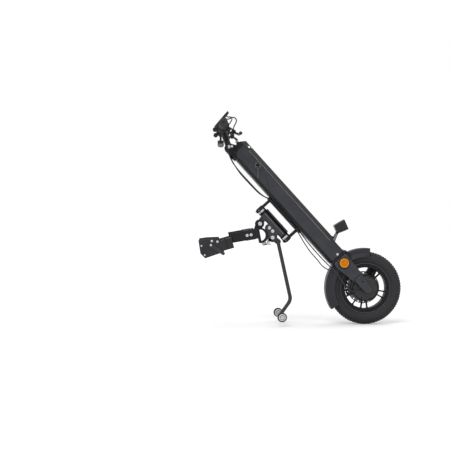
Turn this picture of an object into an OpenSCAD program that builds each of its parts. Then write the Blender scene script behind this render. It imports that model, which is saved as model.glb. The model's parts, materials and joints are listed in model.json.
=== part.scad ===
// Front electric drive: a leaning battery column over a hub motor wheel, with a docking frame behind it.
// Frame: +X forward, +Y to the left, +Z up, floor at Z = 0, origin under the middle of the box.

/* [Wheel] */
// Tyre outside diameter
tyre_d = 312; // [306:1:318]
// Tyre width
tyre_w = 58; // [54:1:60]
// Rim diameter over the flanges
rim_d = 215; // [208:1:220]
// Rim width between the flanges
rim_w = 40; // [36:1:42]
// Motor shell diameter
motor_d = 114; // [110:1:118]
// Motor shell width
motor_w = 52; // [48:1:54]
// Number of twin spokes
spoke_pairs = 5; // [4:1:6]
// Wheel axle diameter
axle_d = 12; // [10:0.5:14]
// Brake disc diameter
disc_d = 140; // [134:1:144]

/* [Column] */
// Lean of the column from upright, in degrees
rake = 42.2; // [40:0.1:44]
// Width of the column housing
body_w = 110; // [104:1:116]
// Depth of the column housing
body_d = 84.5; // [80:0.5:90]
// Length of the closed neck below the battery
neck_l = 72; // [66:1:80]
// Length of the closed head above the battery, up to its peak
head_l = 53; // [48:1:60]
// Wall of the column housing
wall = 4; // [3:0.5:5]
// Depth of the battery lid's sloping edges
lid_t = 20; // [16:1:22]
// Length of the battery pack
battery_l = 517; // [505:1:525]
// Place of the column's front wheel axle along X
axle_x = 277.7; // [270:0.1:290]

/* [Fork] */
// Gap between the fork legs
fork_gap = 88; // [86:1:92]
// Thickness of a fork leg
leg_t = 14; // [12:0.5:16]
// Clearance from the tyre to the outside of the mudguard
guard_gap = 15; // [13:0.5:18]
// Reflector diameter
reflector_d = 48; // [40:1:50]

/* [Steering] */
// Distance of the steering axis behind the column's middle line
steer_x = 106; // [100:1:112]
// Height of the lower steering arm along the column
arm_low_z = 379.6; // [370:0.1:390]
// Distance between the steering arms
arm_span = 171.2; // [160:0.1:180]
// Thickness of a steering arm
arm_t = 12; // [8:0.5:14]
// Steering bolt diameter
steer_bolt_d = 20; // [16:0.5:22]
// Steering tube diameter
steer_tube_d = 36; // [32:0.5:38]

/* [Docking frame] */
// Cross bar diameter
cross_d = 28; // [24:0.5:32]
// Distance of each frame clamp from the middle
clamp_y = 190; // [180:1:200]
// Diameter of the round tube that each clamp takes
tube_d = 35; // [28:0.5:38]
// Height of each clamp along its tube
clamp_h = 44; // [40:1:50]
// Lean of each clamp's bore from upright, in degrees
tube_lean = 16; // [12:0.5:20]

/* [Stand] */
// Diameter of the stand's wheels
stand_wheel_d = 40; // [36:1:46]
// Distance between the stand's wheels
stand_track = 234; // [200:1:260]
// Stand tube diameter
stand_tube_d = 16; // [14:0.5:18]

/* [Handlebar] */
// Handlebar tube diameter
bar_d = 22; // [20:0.5:25]
// Handlebar length over the grips
bar_l = 508; // [490:1:540]
// Grip diameter
grip_d = 33; // [30:0.5:36]
// Cable diameter
cable_d = 5; // [4:0.5:6]

/* [Hidden] */
$fn = 64;
// Running clearance of a shaft in its bore, gap between moving faces, and the overlap of joined shapes
run = 0.05;
gap = 0.3;
eps = 0.01;

// Wheel
axle_z = tyre_d / 2;
rim_r = rim_d / 2;
flange_t = 3.5;
barrel_r = rim_r - 20;
barrel_t = 3;
bead_r = barrel_r + barrel_t;
motor_r = motor_d / 2;
shell_t = 6;
magnet_t = 4;
cover_t = 4;
cover_boss = 5;
disc_t = 2.5;
disc_y = motor_w / 2 + cover_boss + 3;
spoke_t = 18;
leg_in = fork_gap / 2;
leg_out = leg_in + leg_t;
nut_t = 7;

// Column, measured along and across it from the wheel axle
guard_r = axle_z + guard_gap;
crown_z = guard_r + gap;
crown_t = 10;
body_z0 = crown_z + crown_t;
front_x = body_d / 2;
lid_x = front_x - lid_t;
lid_y = body_w / 2 - 18;
rear_cut = 14;
neck_step = 6;
battery_z0 = body_z0 + neck_l;
battery_z1 = battery_z0 + battery_l;
body_z1 = battery_z1 + head_l;
slope_x = 17;
slope_z = 42;

// Cells of the battery pack
cell_d = 21;
cell_l = 70;
cell_pitch = 21.6;
cell_rows = 2;
cell_cols = 20;

// Steering
arm_high_z = arm_low_z + arm_span;
bearing_h = 14;
arm_w = 40;
rail_t = 12;
head_y = steer_tube_d / 2;
head_t = 8;
head_out = head_y + head_t;
tilt_in = head_out + 0.4;
tilt_t = 6;
tilt_out = tilt_in + tilt_t;

// A point given across and along the column, as X and Z of the part
function col(x, z) = [
  axle_x + x * cos(rake) - z * sin(rake),
  axle_z + x * sin(rake) + z * cos(rake)
];

// Pivots and bolts of the docking head, across and along the column
dock_pivot = [-43.4 - steer_x, arm_low_z + 126.3];
stand_pivot = [-43 - steer_x, arm_low_z + 46.7];
plate_bolts = [[-24.5 - steer_x, arm_low_z + 66.8], [-25.4 - steer_x, arm_low_z + 86.1]];
pivot_d = 14;
plate_bolt_d = 8;

// Docking frame, as X and Z
dock_at = col(dock_pivot[0], dock_pivot[1]);
cross_at = dock_at + [-49, -45];
clamp_at = cross_at + [-97, -38];
arm_lean = 9.8;
arm_h = 40;
bar_t = 8;
arm_y = clamp_y - bar_t / 2;
sleeve_l = 70;
arm_travel = 30;
cross_y = arm_y - arm_travel - 1;
sleeve_w = 42;
arm_front = 35;
arm_back = norm(clamp_at - cross_at) + 6;

// Frame clamp, across and along its bore
tube_r = tube_d / 2;
block_w = tube_r + 8.5;
split = 0.25;
knuckle_y = -tube_r - 9.5;
knuckle_r = 8;
clamp_pin_d = 8;
jaw_plate_t = 8;
jaw_plate_y = block_w - jaw_plate_t;
latch_at = [-62.5, 14.3];
latch_end = [-23.7, -31.7];
latch_r = 7;
latch_t = 6;
latch_pin_r = 3;
latch_y = jaw_plate_y + jaw_plate_t + gap;

// Stand, as X and Z
stand_at = col(stand_pivot[0], stand_pivot[1]);
stand_reach = 80;
stand_bend_z = 104;
stand_step = 25;
stand_back = 34;
stand_lift = 20;
stand_top = stand_at + [stand_step, -18];
stand_bend = [stand_at[0] + stand_reach, stand_bend_z];
stand_foot = [stand_at[0] + stand_back, stand_wheel_d / 2 + stand_lift];
stand_bend_r = 40;
stand_axle_d = 10;
stand_wheel_w = 18;
stand_hub_d = stand_wheel_d - 10;

// Handlebar, across and along the column, then as X and Z
bar_rise = 91.5;
stem_rise = 14;
bar_local = [7, body_z1 + bar_rise];
bar_at = col(bar_local[0], bar_local[1]);
stem_foot = [-27, body_z1 + stem_rise];
stem_d = 26;
stem_eye_r = 15;
stem_w = 14;
pod_in = 98;
pod_w = 20;
pod_r = 26;
thumb_w = 13;
thumb_r = 16;
lever_drop = 30;
lever_pivot = [48, pod_in + 10];
lever_t = 9;
lever_pin_r = 2.5;
grip_y = pod_in + pod_w + gap;

// Display, along its face and off the handlebar
display_tilt = 49.2;
display_x = -18;
display_l = 85;
display_w = 64;
display_t = 9;
display_z = 22;
button_d = 12;
button_at = [-8, 0];
button_h = 5;
button_travel = 1;

// Headlamp
lamp_xz = [front_x + 18, battery_z0 - 3];
lamp_at = col(lamp_xz[0], lamp_xz[1]);
lamp_lift = 24;
lamp_w = 52;
lamp_pin_d = 6;
lamp_ear = 6;

// Lock on the right side of the column
lock_at = [12, battery_z1 - 71];
lock_d = 18;
plug_d = 10;
key_y = -body_w / 2 - 24;

// Routes of the cables, across the column, to the left and along the column. They follow the column's
// back, its top and foot, and the steering arms. Two of them end in the glands of a block on that back.
back = -front_x;
brake_y = arm_w / 2 + 8;
lead_y = -arm_w / 2 - 8;
control_z = arm_low_z + 16.4;
motor_z = arm_low_z - 15.6;
entry_t = 12;
entry_w = 13;
gland_x = back - entry_t / 2;
gland_l = 6;
gland_r = 5.5;
gland_bore = 12;
brake_route = [
  [16, pod_in - 0.6, body_z1 + 72.2], [15, pod_in - 14, body_z1 + 69.2], [3, 64, body_z1 + 54],
  [-20, 46, body_z1 + 27], [back - 1, 36, body_z1 - 5.3], [back - 13, 31, body_z1 - 38.3],
  [back - 17.75, 29, body_z1 - 70], [back - 19.25, brake_y, body_z1 - 110.3],
  [back - 18.75, brake_y, arm_high_z + 109.2], [back - 17.75, brake_y, arm_high_z + 61.2],
  [back - 12.75, brake_y, arm_high_z + 29.2],
  [back - 3.75, brake_y, arm_high_z - 2.8], [back - 2.75, brake_y, arm_high_z - 70.8],
  [back - 2.75, brake_y, arm_low_z + 20.4], [back - 8.75, brake_y, arm_low_z - 15.6],
  [back - 19.75, 29, body_z0 + 126.7], [back - 24.75, 34, body_z0 + 84.7],
  [back - 24.75, 46, body_z0 + 41.7], [back - 25.75, leg_out + 2, body_z0 + 2.7],
  [-58, leg_out + 8, 152], [-30, leg_out + 9, 115], [6, leg_out + 9, 92], [44, leg_out + 8, 78],
  [74, leg_out + 2, 64], [86, leg_out - 10, 50], [84, disc_y + 2, 42]
];
control_route = [
  [43, -20, body_z1 + 117.7], [44, -20, body_z1 + 110.2], [47, -20, body_z1 + 105.4],
  [52, -20, body_z1 + 102], [57.5, -20, body_z1 + 100.2], [63, -20, body_z1 + 98.5],
  [70.8, -20, body_z1 + 94.5], [74.8, -20.3, body_z1 + 86.7], [73.6, -20.7, body_z1 + 78.1],
  [67.8, -21, body_z1 + 71.6], [60.5, -21.5, body_z1 + 68.6], [52, -22, body_z1 + 65.4],
  [44, -23.5, body_z1 + 61.4], [36, -25, body_z1 + 57], [2, -29, body_z1 + 41], [-31, -31, body_z1 + 20.7],
  [back - 6.75, -31, body_z1 - 13.3], [back - 18.75, -30, body_z1 - 55],
  [back - 25.75, lead_y, body_z1 - 105], [back - 25.75, lead_y, arm_high_z + 109.2],
  [back - 23.75, lead_y, arm_high_z + 61.2], [back - 16.75, lead_y, arm_high_z + 29.2],
  [back - 3.75, lead_y, arm_high_z - 2.8], [back - 2.75, lead_y, arm_high_z - 70.8],
  [back - 3.25, lead_y, control_z + 50], [back - 5, lead_y, control_z + 26],
  [gland_x, lead_y, control_z + 10], [gland_x, lead_y, control_z - gland_bore + 4]
];
switch_route = [
  [53, -26, body_z1 + 118.6], [54, -26.5, body_z1 + 110.5], [60, -32, body_z1 + 105],
  [63, -44, body_z1 + 97], [56, -60, body_z1 + 89], [40, -76, body_z1 + 83], [27, -86, body_z1 + 80],
  [24, -pod_in + 6, body_z1 + 80], [24, -pod_in + 0.6, body_z1 + 80]
];
motor_route = [
  [gland_x, lead_y, motor_z + gland_bore - 4], [gland_x, lead_y, motor_z - 10],
  [back - 7.5, lead_y, motor_z - 30], [back - 9.75, lead_y, motor_z - 56],
  [back - 11.25, -30, body_z0 + 84.7], [back - 11.75, -38, body_z0 + 41.7],
  [back - 10.75, -50, body_z0 + 2.7], [-50, 5 - leg_out, 152], [-50, 5 - leg_out, 128],
  [-56, 5 - leg_out, 92], [-58, 5 - leg_out, 58], [-48, 5 - leg_out, 26], [-30, 5 - leg_out, 10],
  [-18.5, 5 - leg_out, 6]
];

black = "#17181a";
charcoal = "#3f4145";
silver = "#c4c6c8";

// Places its children in the frame of the leaning column, with the wheel axle as origin
module on_column() {
  translate([axle_x, 0, axle_z]) rotate([0, -rake, 0]) children();
}

// Places its children on the handlebar's middle
module on_bar() {
  translate([bar_at[0], 0, bar_at[1]]) children();
}

// Places its children in the frame of one clamp's bore, with +Y away from the middle
module on_clamp(side) {
  translate([clamp_at[0], side * clamp_y, clamp_at[1]])
    rotate([0, -tube_lean, 0])
      scale_y(side) children();
}

// Keeps or mirrors its children across the middle plane
module scale_y(side) {
  if (side > 0) children();
  else mirror([0, 1, 0]) children();
}

// Round bar along Y at a point of the XZ plane
module along_y(at, r, y0, y1) {
  translate([at[0], y0, at[1]]) rotate([-90, 0, 0]) cylinder(r = r, h = y1 - y0);
}

// Plate between two values of Y, with its outline drawn in the XZ plane
module plate_xz(y0, y1) {
  translate([0, y1, 0]) rotate([90, 0, 0]) linear_extrude(y1 - y0) children();
}

// Round bar between two points of the XZ plane
module bar_xz(p, q, r) {
  d = q - p;
  translate([p[0], 0, p[1]]) rotate([0, atan2(d[0], d[1]), 0]) cylinder(r = r, h = norm(d));
}

// Round bar in the XZ plane with one bend of a given radius, upset a little where it was bent
module bent_bar(p, b, q, bend_r, r) {
  d1 = (b - p) / norm(b - p);
  d2 = (q - b) / norm(q - b);
  turn = acos(d1 * d2);
  left = sign(d1[0] * d2[1] - d1[1] * d2[0]);
  p1 = b - bend_r * tan(turn / 2) * d1;
  q1 = b + bend_r * tan(turn / 2) * d2;
  centre = p1 + left * bend_r * [-d1[1], d1[0]];
  from = (left > 0 ? p1 : q1) - centre;
  bar_xz(p, p1 + d1, r);
  bar_xz(q1 - d2, q, r);
  translate([centre[0], 0, centre[1]]) rotate([90, 0, 0]) rotate([0, 0, atan2(from[1], from[0])])
    rotate_extrude(angle = turn) translate([bend_r, 0]) circle(r + gap);
}

// Outline of a bar with round ends, which stand a hair proud of its flats
module link2d(p, q, r) {
  d = q - p;
  flat = r - gap / 2;
  translate(p) circle(r);
  translate(q) circle(r);
  translate(p) rotate(atan2(d[1], d[0])) translate([0, -flat]) square([norm(d), 2 * flat]);
}

// Turned body about the wheel axle, its profile given by radius and distance along Y
module turned() {
  translate([axle_x, 0, axle_z]) rotate([-90, 0, 0]) rotate_extrude() children();
}

// Hexagon bolt head or nut along Y, wide across its corners
module hex_y(at, r, y0, y1) {
  translate([at[0], y0, at[1]]) rotate([-90, 0, 0]) cylinder(r = r, h = y1 - y0, $fn = 6);
}

// Docking head: steering tube with a turned bore for the bolt
tube_z0 = arm_low_z + arm_t / 2 + gap + bearing_h;
tube_z1 = arm_high_z - arm_t / 2 - gap - bearing_h;
module head_tube() {
  color(black) on_column() difference() {
    translate([-steer_x, 0, tube_z0]) cylinder(d = steer_tube_d, h = tube_z1 - tube_z0);
    translate([-steer_x, 0, tube_z0 - 1]) cylinder(d = steer_bolt_d + 4, h = tube_z1 - tube_z0 + 2);
  }
}

// Two side plates welded to the steering tube, which carry the dock pivot and the stand, and a rib in
// front of it
rib_t = 8;
rib_h = 7;
module head_plate_outline() {
  difference() {
    union() {
      translate([-steer_x - 14, tube_z0 + 4]) square([16, tube_z1 - tube_z0 - 8]);
      link2d([-steer_x - 12, dock_pivot[1] + 8], dock_pivot, 12);
      link2d([-steer_x - 19, stand_pivot[1] + 20], stand_pivot, 20);
      link2d(stand_pivot, plate_bolts[1], 16);
    }
    translate(dock_pivot) circle(d = pivot_d);
    translate(stand_pivot) circle(d = pivot_d);
    for (p = plate_bolts) translate(p) circle(d = plate_bolt_d);
  }
}
module head_plates() {
  color(black) on_column() {
    for (side = [-1, 1]) scale_y(side) plate_xz(head_y, head_out) head_plate_outline();
    difference() {
      translate([-steer_x, -rib_t / 2, tube_z0]) cube([head_y + rib_h, rib_t, tube_z1 - tube_z0]);
      translate([-steer_x, 0, tube_z0 - 1]) cylinder(d = steer_tube_d, h = tube_z1 - tube_z0 + 2);
    }
  }
}

// Pivot bolts and plate bolts with their hexagon heads and nuts, and the spring plungers beside the
// stand's pivot
plunger_r = 5;
plunger_y = head_out + plunger_r + 0.5;
plunger_in = stand_pivot + [-16, 0];
plunger_end = stand_pivot + [-52, 3.7];
module head_bolts() {
  color(silver) on_column() {
    along_y(dock_pivot, pivot_d / 2, -tilt_out - 3, tilt_out + 3);
    for (side = [-1, 1]) scale_y(side) hex_y(dock_pivot, 9, tilt_out + 3, tilt_out + 9);
    along_y(stand_pivot, pivot_d / 2, -head_out, head_out);
    for (side = [-1, 1]) scale_y(side) hex_y(stand_pivot, 9, head_out, head_out + 6);
    for (p = plate_bolts) {
      along_y(p, plate_bolt_d / 2, -head_out, head_out);
      for (side = [-1, 1]) scale_y(side) hex_y(p, 8, head_out, head_out + 5);
    }
    for (side = [-1, 1]) scale_y(side) {
      along_y(plunger_in, plunger_r + 1.5, head_out, plunger_y + plunger_r);
      translate([0, plunger_y, 0]) bar_xz(plunger_in, plunger_end, plunger_r);
    }
  }
}

// Sealed bearings at both ends of the steering tube, turning on the steering bolt
module head_bearings() {
  color(silver) on_column() for (z = [tube_z0 - bearing_h, tube_z1])
    translate([-steer_x, 0, z]) difference() {
      cylinder(d = steer_tube_d + 3, h = bearing_h);
      translate([0, 0, -1]) cylinder(r = steer_bolt_d / 2 + run, h = bearing_h + 2);
    }
}

// Docking frame: two plates outside the head plates, with a D-shaped window and a boss at the pivot
dring_at = [2, -50];
dring_lean = 11;
dring_r = 33;
dring_w = 8;
dring_back = 9.5;
module d_shape(r, x0) {
  translate(dring_at) rotate(dring_lean) intersection() {
    circle(r = r);
    translate([x0, -r - 1]) square(2 * r + 2);
  }
}
module tilt_outline() {
  difference() {
    union() {
      circle(r = 18);
      link2d([0, 0], [-14, -44], 15);
      link2d(cross_at - dock_at, [-8, -40], 19);
      d_shape(dring_r, -dring_back);
    }
    circle(r = pivot_d / 2 + run);
    translate(cross_at - dock_at) circle(d = cross_d);
    d_shape(dring_r - dring_w, 0);
  }
}
module tilt_plates() {
  color(black) translate([dock_at[0], 0, dock_at[1]]) for (side = [-1, 1]) scale_y(side) {
    plate_xz(tilt_in, tilt_out) tilt_outline();
    difference() {
      along_y([0, 0], 17, tilt_out, tilt_out + 3 - gap);
      along_y([0, 0], pivot_d / 2 + run, tilt_out - 1, tilt_out + 4);
    }
  }
}

// Cross bar that carries both arms
module cross_bar() {
  color(charcoal) difference() {
    along_y(cross_at, cross_d / 2, -cross_y, cross_y);
    along_y(cross_at, cross_d / 2 - 3, -cross_y - 1, cross_y + 1);
  }
}

// Arm: sleeve on the cross bar and flat bar back to the frame clamp
module arm(side) {
  color(charcoal) difference() {
    scale_y(side) translate([cross_at[0], 0, cross_at[1]]) rotate([0, -arm_lean, 0]) difference() {
      union() {
        translate([-sleeve_w / 2, arm_y - sleeve_l, -sleeve_w / 2]) cube([sleeve_w, sleeve_l, sleeve_w]);
        plate_xz(arm_y, arm_y + bar_t) translate([-arm_back, -arm_h / 2])
          square([arm_back + arm_front, arm_h]);
      }
      along_y([0, 0], cross_d / 2 + run, arm_y - sleeve_l - 1, arm_y);
    }
    on_clamp(side) translate([block_w - 200, -100, -100]) cube([200, 200, 200]);
  }
}
module arm_left() arm(1);
module arm_right() arm(-1);

// Two screws side by side on the outside of an arm
arm_bolt_r = 7;
arm_bolt_x = [-13, 3.5];
module arm_bolts(side) {
  color(silver) scale_y(side) translate([cross_at[0], 0, cross_at[1]]) rotate([0, -arm_lean, 0])
    for (x = arm_bolt_x) hex_y([x, 0], arm_bolt_r, arm_y + bar_t, arm_y + bar_t + 5);
}
module arm_bolts_left() arm_bolts(1);
module arm_bolts_right() arm_bolts(-1);

// Upright knuckle of the clamp's hinge between two heights along the tube
module knuckle(z0, z1) {
  translate([0, knuckle_y, z0]) cylinder(r = knuckle_r, h = z1 - z0);
}

// Front half of the frame clamp, fixed to the arm, with the hinge pin
knuckle_h = 8;
module clamp_body(side) {
  color(black) on_clamp(side) {
    difference() {
      union() {
        translate([split, -tube_r - 4, -clamp_h / 2]) cube([block_w - split, block_w + tube_r + 4, clamp_h]);
        for (z = [-1, 1]) translate([0, 0, z * (clamp_h / 2 + knuckle_h) / 2]) {
          knuckle(-(clamp_h / 2 - knuckle_h) / 2, (clamp_h / 2 - knuckle_h) / 2);
          translate([split, knuckle_y, -(clamp_h / 2 - knuckle_h) / 2])
            cube([knuckle_r, -tube_r - 4 - knuckle_y + eps, clamp_h / 2 - knuckle_h]);
        }
      }
      translate([0, 0, -clamp_h]) cylinder(d = tube_d, h = 2 * clamp_h);
      translate([0, knuckle_y, -clamp_h]) cylinder(d = clamp_pin_d, h = 2 * clamp_h);
      translate([-1, knuckle_y - knuckle_r - 1, -knuckle_h])
        cube([knuckle_r + 2, 2 * knuckle_r + 1.5, 2 * knuckle_h]);
    }
    translate([0, knuckle_y, -clamp_h / 2]) cylinder(d = clamp_pin_d, h = clamp_h);
  }
}
module clamp_body_left() clamp_body(1);
module clamp_body_right() clamp_body(-1);

// Rear half of the frame clamp with its long hand plate, swinging on the hinge pin
module clamp_jaw(side) {
  color(black) on_clamp(side) difference() {
    union() {
      translate([-block_w, -tube_r - 1, -clamp_h / 2])
        cube([block_w - split, block_w + tube_r + 1, clamp_h]);
      knuckle(-knuckle_h + gap, knuckle_h - gap);
      translate([-knuckle_r, knuckle_y, -knuckle_h + gap])
        cube([knuckle_r - split, -tube_r - 1 - knuckle_y + eps, 2 * (knuckle_h - gap)]);
      plate_xz(jaw_plate_y, jaw_plate_y + jaw_plate_t)
        polygon([[-18, 30], [-70, 43], [-106, 48], [-113, -6], [-100, -31], [-18, -27]]);
      along_y(latch_at, latch_pin_r, jaw_plate_y + 1, latch_y + latch_t + gap + eps);
      along_y(latch_at, latch_pin_r + 2, latch_y + latch_t + gap, latch_y + latch_t + gap + 2);
    }
    translate([0, 0, -clamp_h]) cylinder(d = tube_d, h = 2 * clamp_h);
    translate([0, knuckle_y, -clamp_h]) cylinder(r = clamp_pin_d / 2 + run, h = 2 * clamp_h);
  }
}
module clamp_jaw_left() clamp_jaw(1);
module clamp_jaw_right() clamp_jaw(-1);

// Latch lever on the outside of the hand plate
module clamp_latch(side) {
  color(charcoal) on_clamp(side) plate_xz(latch_y, latch_y + latch_t) difference() {
    link2d(latch_at, latch_end, latch_r);
    translate(latch_at) circle(latch_pin_r + run);
  }
}
module clamp_latch_left() clamp_latch(1);
module clamp_latch_right() clamp_latch(-1);

// Stand: bent tube with the pivot eye at its top and a sleeve for the axle at its foot
module stand_leg() {
  eye_y = head_y - 0.5;
  color(charcoal) difference() {
    union() {
      along_y(stand_at, 14, -eye_y, eye_y);
      plate_xz(-stand_tube_d / 2 - 1, stand_tube_d / 2 + 1) link2d(stand_at, stand_top, stand_tube_d / 2 + 4);
      bent_bar(stand_top, stand_bend, stand_foot, stand_bend_r, stand_tube_d / 2);
      along_y(stand_foot, stand_axle_d / 2 + 4, -18, 18);
    }
    along_y(stand_at, pivot_d / 2 + run, -eye_y - 1, eye_y + 1);
    along_y(stand_foot, stand_axle_d / 2, -19, 19);
  }
}

// Axle of the stand's wheels with collars on both sides of each wheel
wheel_in = stand_track / 2 - stand_wheel_w / 2;
wheel_out = wheel_in + stand_wheel_w;
module stand_axle() {
  color(silver) {
    along_y(stand_foot, stand_axle_d / 2, -wheel_out - gap - 3, wheel_out + gap + 3);
    for (side = [-1, 1]) scale_y(side) {
      along_y(stand_foot, stand_axle_d / 2 + 3, wheel_in - gap - 3, wheel_in - gap);
      along_y(stand_foot, stand_axle_d / 2 + 3, wheel_out + gap, wheel_out + gap + 3);
    }
  }
}

// Small wheel of the stand with a raised hub and a round-shouldered tread
module stand_wheel(side) {
  color("#b9b6b0") scale_y(side) difference() {
    union() {
      along_y(stand_foot, stand_wheel_d / 2, wheel_in + 3, wheel_out - 3);
      along_y(stand_foot, stand_wheel_d / 2 - 3, wheel_in + 1, wheel_out - 1);
      along_y(stand_foot, stand_hub_d / 2, wheel_in, wheel_out);
    }
    along_y(stand_foot, stand_axle_d / 2 + run, wheel_in - 1, wheel_out + 1);
  }
}
module stand_wheel_left() stand_wheel(1);
module stand_wheel_right() stand_wheel(-1);

// Cross-section of the column: sloping rear edges, and a front face set back behind the lid
module body_section(front, front_y) {
  polygon([
    [-front_x, body_w / 2 - rear_cut], [-front_x + rear_cut, body_w / 2], [lid_x, body_w / 2],
    [front, front_y], [front, -front_y],
    [lid_x, -body_w / 2], [-front_x + rear_cut, -body_w / 2], [-front_x, -body_w / 2 + rear_cut]
  ]);
}

// Outline of the trough inside the housing, its walls set in from the outside
module pocket_section(inset) {
  rear = -front_x + inset;
  side = body_w / 2 - inset;
  cut = rear_cut - inset * (2 - sqrt(2));
  polygon([
    [lid_x + eps, -side], [lid_x + eps, side], [rear + cut, side], [rear, side - cut],
    [rear, cut - side], [rear + cut, -side]
  ]);
}

// Column housing: a trough for the battery with a closed neck below and a sloping head above
module column_housing() {
  color(charcoal) on_column() difference() {
    union() {
      translate([0, 0, body_z0]) linear_extrude(battery_z0 - gap - body_z0)
        body_section(front_x - neck_step, lid_y + neck_step);
      intersection() {
        translate([0, 0, body_z0]) linear_extrude(body_z1 - body_z0) body_section(front_x, lid_y);
        plate_xz(-body_w, body_w) polygon([
          [-front_x, battery_z0 - gap - eps], [lid_x, battery_z0 - gap - eps], [lid_x, battery_z1 + gap],
          [front_x, battery_z1 + gap], [front_x, body_z1 - 16], [slope_x, body_z1],
          [-front_x, body_z1 - slope_z]
        ]);
      }
    }
    pocket_z = body_z0 + 2 * wall;
    translate([0, 0, pocket_z]) linear_extrude(battery_z1 + gap - pocket_z) pocket_section(wall);
    along_y(lock_at, lock_d / 2, -body_w, 0);
  }
}

// Dark cap on the sloping head with two cheeks that hold the foot of the stem
cheek_y = stem_w + 8;
module top_cap() {
  rear_z = body_z1 - slope_z;
  color(black) on_column() difference() {
    union() {
      plate_xz(-body_w / 2 + rear_cut - 6, body_w / 2 - rear_cut + 6) polygon([
        [slope_x, body_z1], [slope_x - 4.6, body_z1 + 6.5], [-front_x - 4.6, rear_z + 6.5], [-front_x, rear_z]
      ]);
      for (side = [-1, 1]) scale_y(side) plate_xz(stem_w, cheek_y) polygon([
        [-front_x - 6, rear_z - 6], [-front_x, rear_z - 6], [-front_x, rear_z], [slope_x - 13, body_z1 - 6.5],
        stem_foot + [13, 9.5], stem_foot + [-3, 16], stem_foot + [-16, 11], stem_foot + [-22, -1]
      ]);
    }
    along_y(stem_foot, stem_bolt_r, -40, 40);
  }
}

// Two steering arms that reach back from the rail to the steering bolt
module steer_arms() {
  color(black) on_column() for (z = [arm_low_z, arm_high_z]) translate([0, 0, z - arm_t / 2])
    linear_extrude(arm_t) difference() {
      union() {
        translate([-steer_x, 0]) circle(d = arm_w + 4);
        translate([-steer_x, -arm_w / 2]) square([steer_x - front_x - rail_t, arm_w]);
      }
      translate([-steer_x, 0]) circle(d = steer_bolt_d);
    }
}

// Rail on the back of the column that the steering arms are fixed to
module rail() {
  color(black) on_column() translate([-front_x - rail_t, -arm_w / 2, arm_low_z - 12])
    cube([rail_t, arm_w, arm_span + 24]);
}

// Steering bolt through both arms, with a low head above and a thin nut below
bolt_nut_r = steer_bolt_d * 0.8;
bolt_nut_t = 4;
bolt_head_t = 3;
module steering_bolt() {
  z0 = arm_low_z - arm_t / 2;
  z1 = arm_high_z + arm_t / 2;
  color(silver) on_column() translate([-steer_x, 0, 0]) {
    translate([0, 0, z0 - bolt_nut_t - 1]) cylinder(d = steer_bolt_d, h = z1 - z0 + bolt_nut_t + 1 + eps);
    translate([0, 0, z1]) cylinder(r = bolt_nut_r, h = bolt_head_t);
    translate([0, 0, z0 - bolt_nut_t]) difference() {
      cylinder(r = bolt_nut_r, h = bolt_nut_t, $fn = 6);
      translate([0, 0, -1]) cylinder(d = steer_bolt_d, h = bolt_nut_t + 2);
    }
  }
}

// Motor controller in the neck of the housing
module controller() {
  color("#8d8f92") on_column() translate([-front_x + wall, -38, body_z0 + 2 * wall])
    cube([40, 76, battery_z0 - body_z0 - 3 * wall]);
}

// Round-headed screws on both sides of the housing, the bolt through the foot of the stem, and a block on
// the back with a cable gland at each end
screw_r = 5.5;
screw_h = 2.5;
stem_bolt_r = 5;
module column_bolts() {
  color(silver) on_column() {
    for (side = [-1, 1]) scale_y(side) {
      along_y([6, body_z0 + 9], screw_r, body_w / 2, body_w / 2 + screw_h);
      translate([(lid_x + front_x) / 2, (body_w / 2 + lid_y) / 2, battery_z1 + screw_r + 2])
        rotate([0, 0, atan2(lid_t, body_w / 2 - lid_y)]) rotate([0, 90, 0])
          cylinder(r = screw_r, h = screw_h);
      hex_y(stem_foot, 8, cheek_y, cheek_y + 5);
      hex_y(stem_foot + [11, -7], 6.5, cheek_y, cheek_y + 4);
    }
    along_y(stem_foot, stem_bolt_r, -cheek_y, cheek_y);
    difference() {
      union() {
        translate([back - entry_t, lead_y - entry_w / 2, motor_z + gland_l])
          cube([entry_t, entry_w, control_z - motor_z - 2 * gland_l]);
        translate([gland_x, lead_y, motor_z]) cylinder(r = gland_r, h = control_z - motor_z);
      }
      for (z = [motor_z - 1, control_z - gland_bore]) translate([gland_x, lead_y, z])
        cylinder(d = cable_d + 1.4, h = gland_bore + 1);
    }
  }
}

// Barrel of the battery lock in the right side of the housing
module lock_barrel() {
  color(silver) on_column() difference() {
    union() {
      along_y(lock_at, lock_d / 2, -body_w / 2 - 1, -body_w / 2 + wall);
      along_y(lock_at, lock_d / 2 + 2.5, -body_w / 2 - 3, -body_w / 2);
    }
    along_y(lock_at, plug_d / 2 + run, -body_w / 2 - 4, -body_w / 2 + wall + 1);
  }
}

// Key in its plug: a round neck that the ring hangs on, and a flat bow
lock_xz = col(lock_at[0], lock_at[1]);
plug_y = -body_w / 2 - 3 - gap;
neck_r = 3;
module key() {
  color("#2a2a2c") translate([lock_xz[0], 0, lock_xz[1]]) {
    along_y([0, 0], plug_d / 2, plug_y, -body_w / 2 - gap);
    along_y([0, 0], neck_r, key_y + 6, plug_y + eps);
    translate([-1.25, key_y, 0]) rotate([0, 90, 0]) cylinder(d = 20, h = 2.5);
  }
}

// Split ring on the key's neck with a spare key hanging from it
ring_r = 11;
wire_r = 0.9;
module key_ring() {
  color(silver) translate([lock_xz[0], plug_y - 5, lock_xz[1] + neck_r + gap + wire_r - ring_r]) {
    rotate([90, 0, 0]) rotate_extrude() translate([ring_r, 0]) circle(r = wire_r);
    difference() {
      union() {
        translate([-1, -6.5, -ring_r - 17]) cube([2, 13, 20]);
        translate([-1, -3, -ring_r - 42]) cube([2, 6, 25 + eps]);
      }
      translate([-2, 0, -ring_r]) rotate([0, 90, 0]) cylinder(r = 2 * wire_r, h = 4);
    }
  }
}

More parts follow.
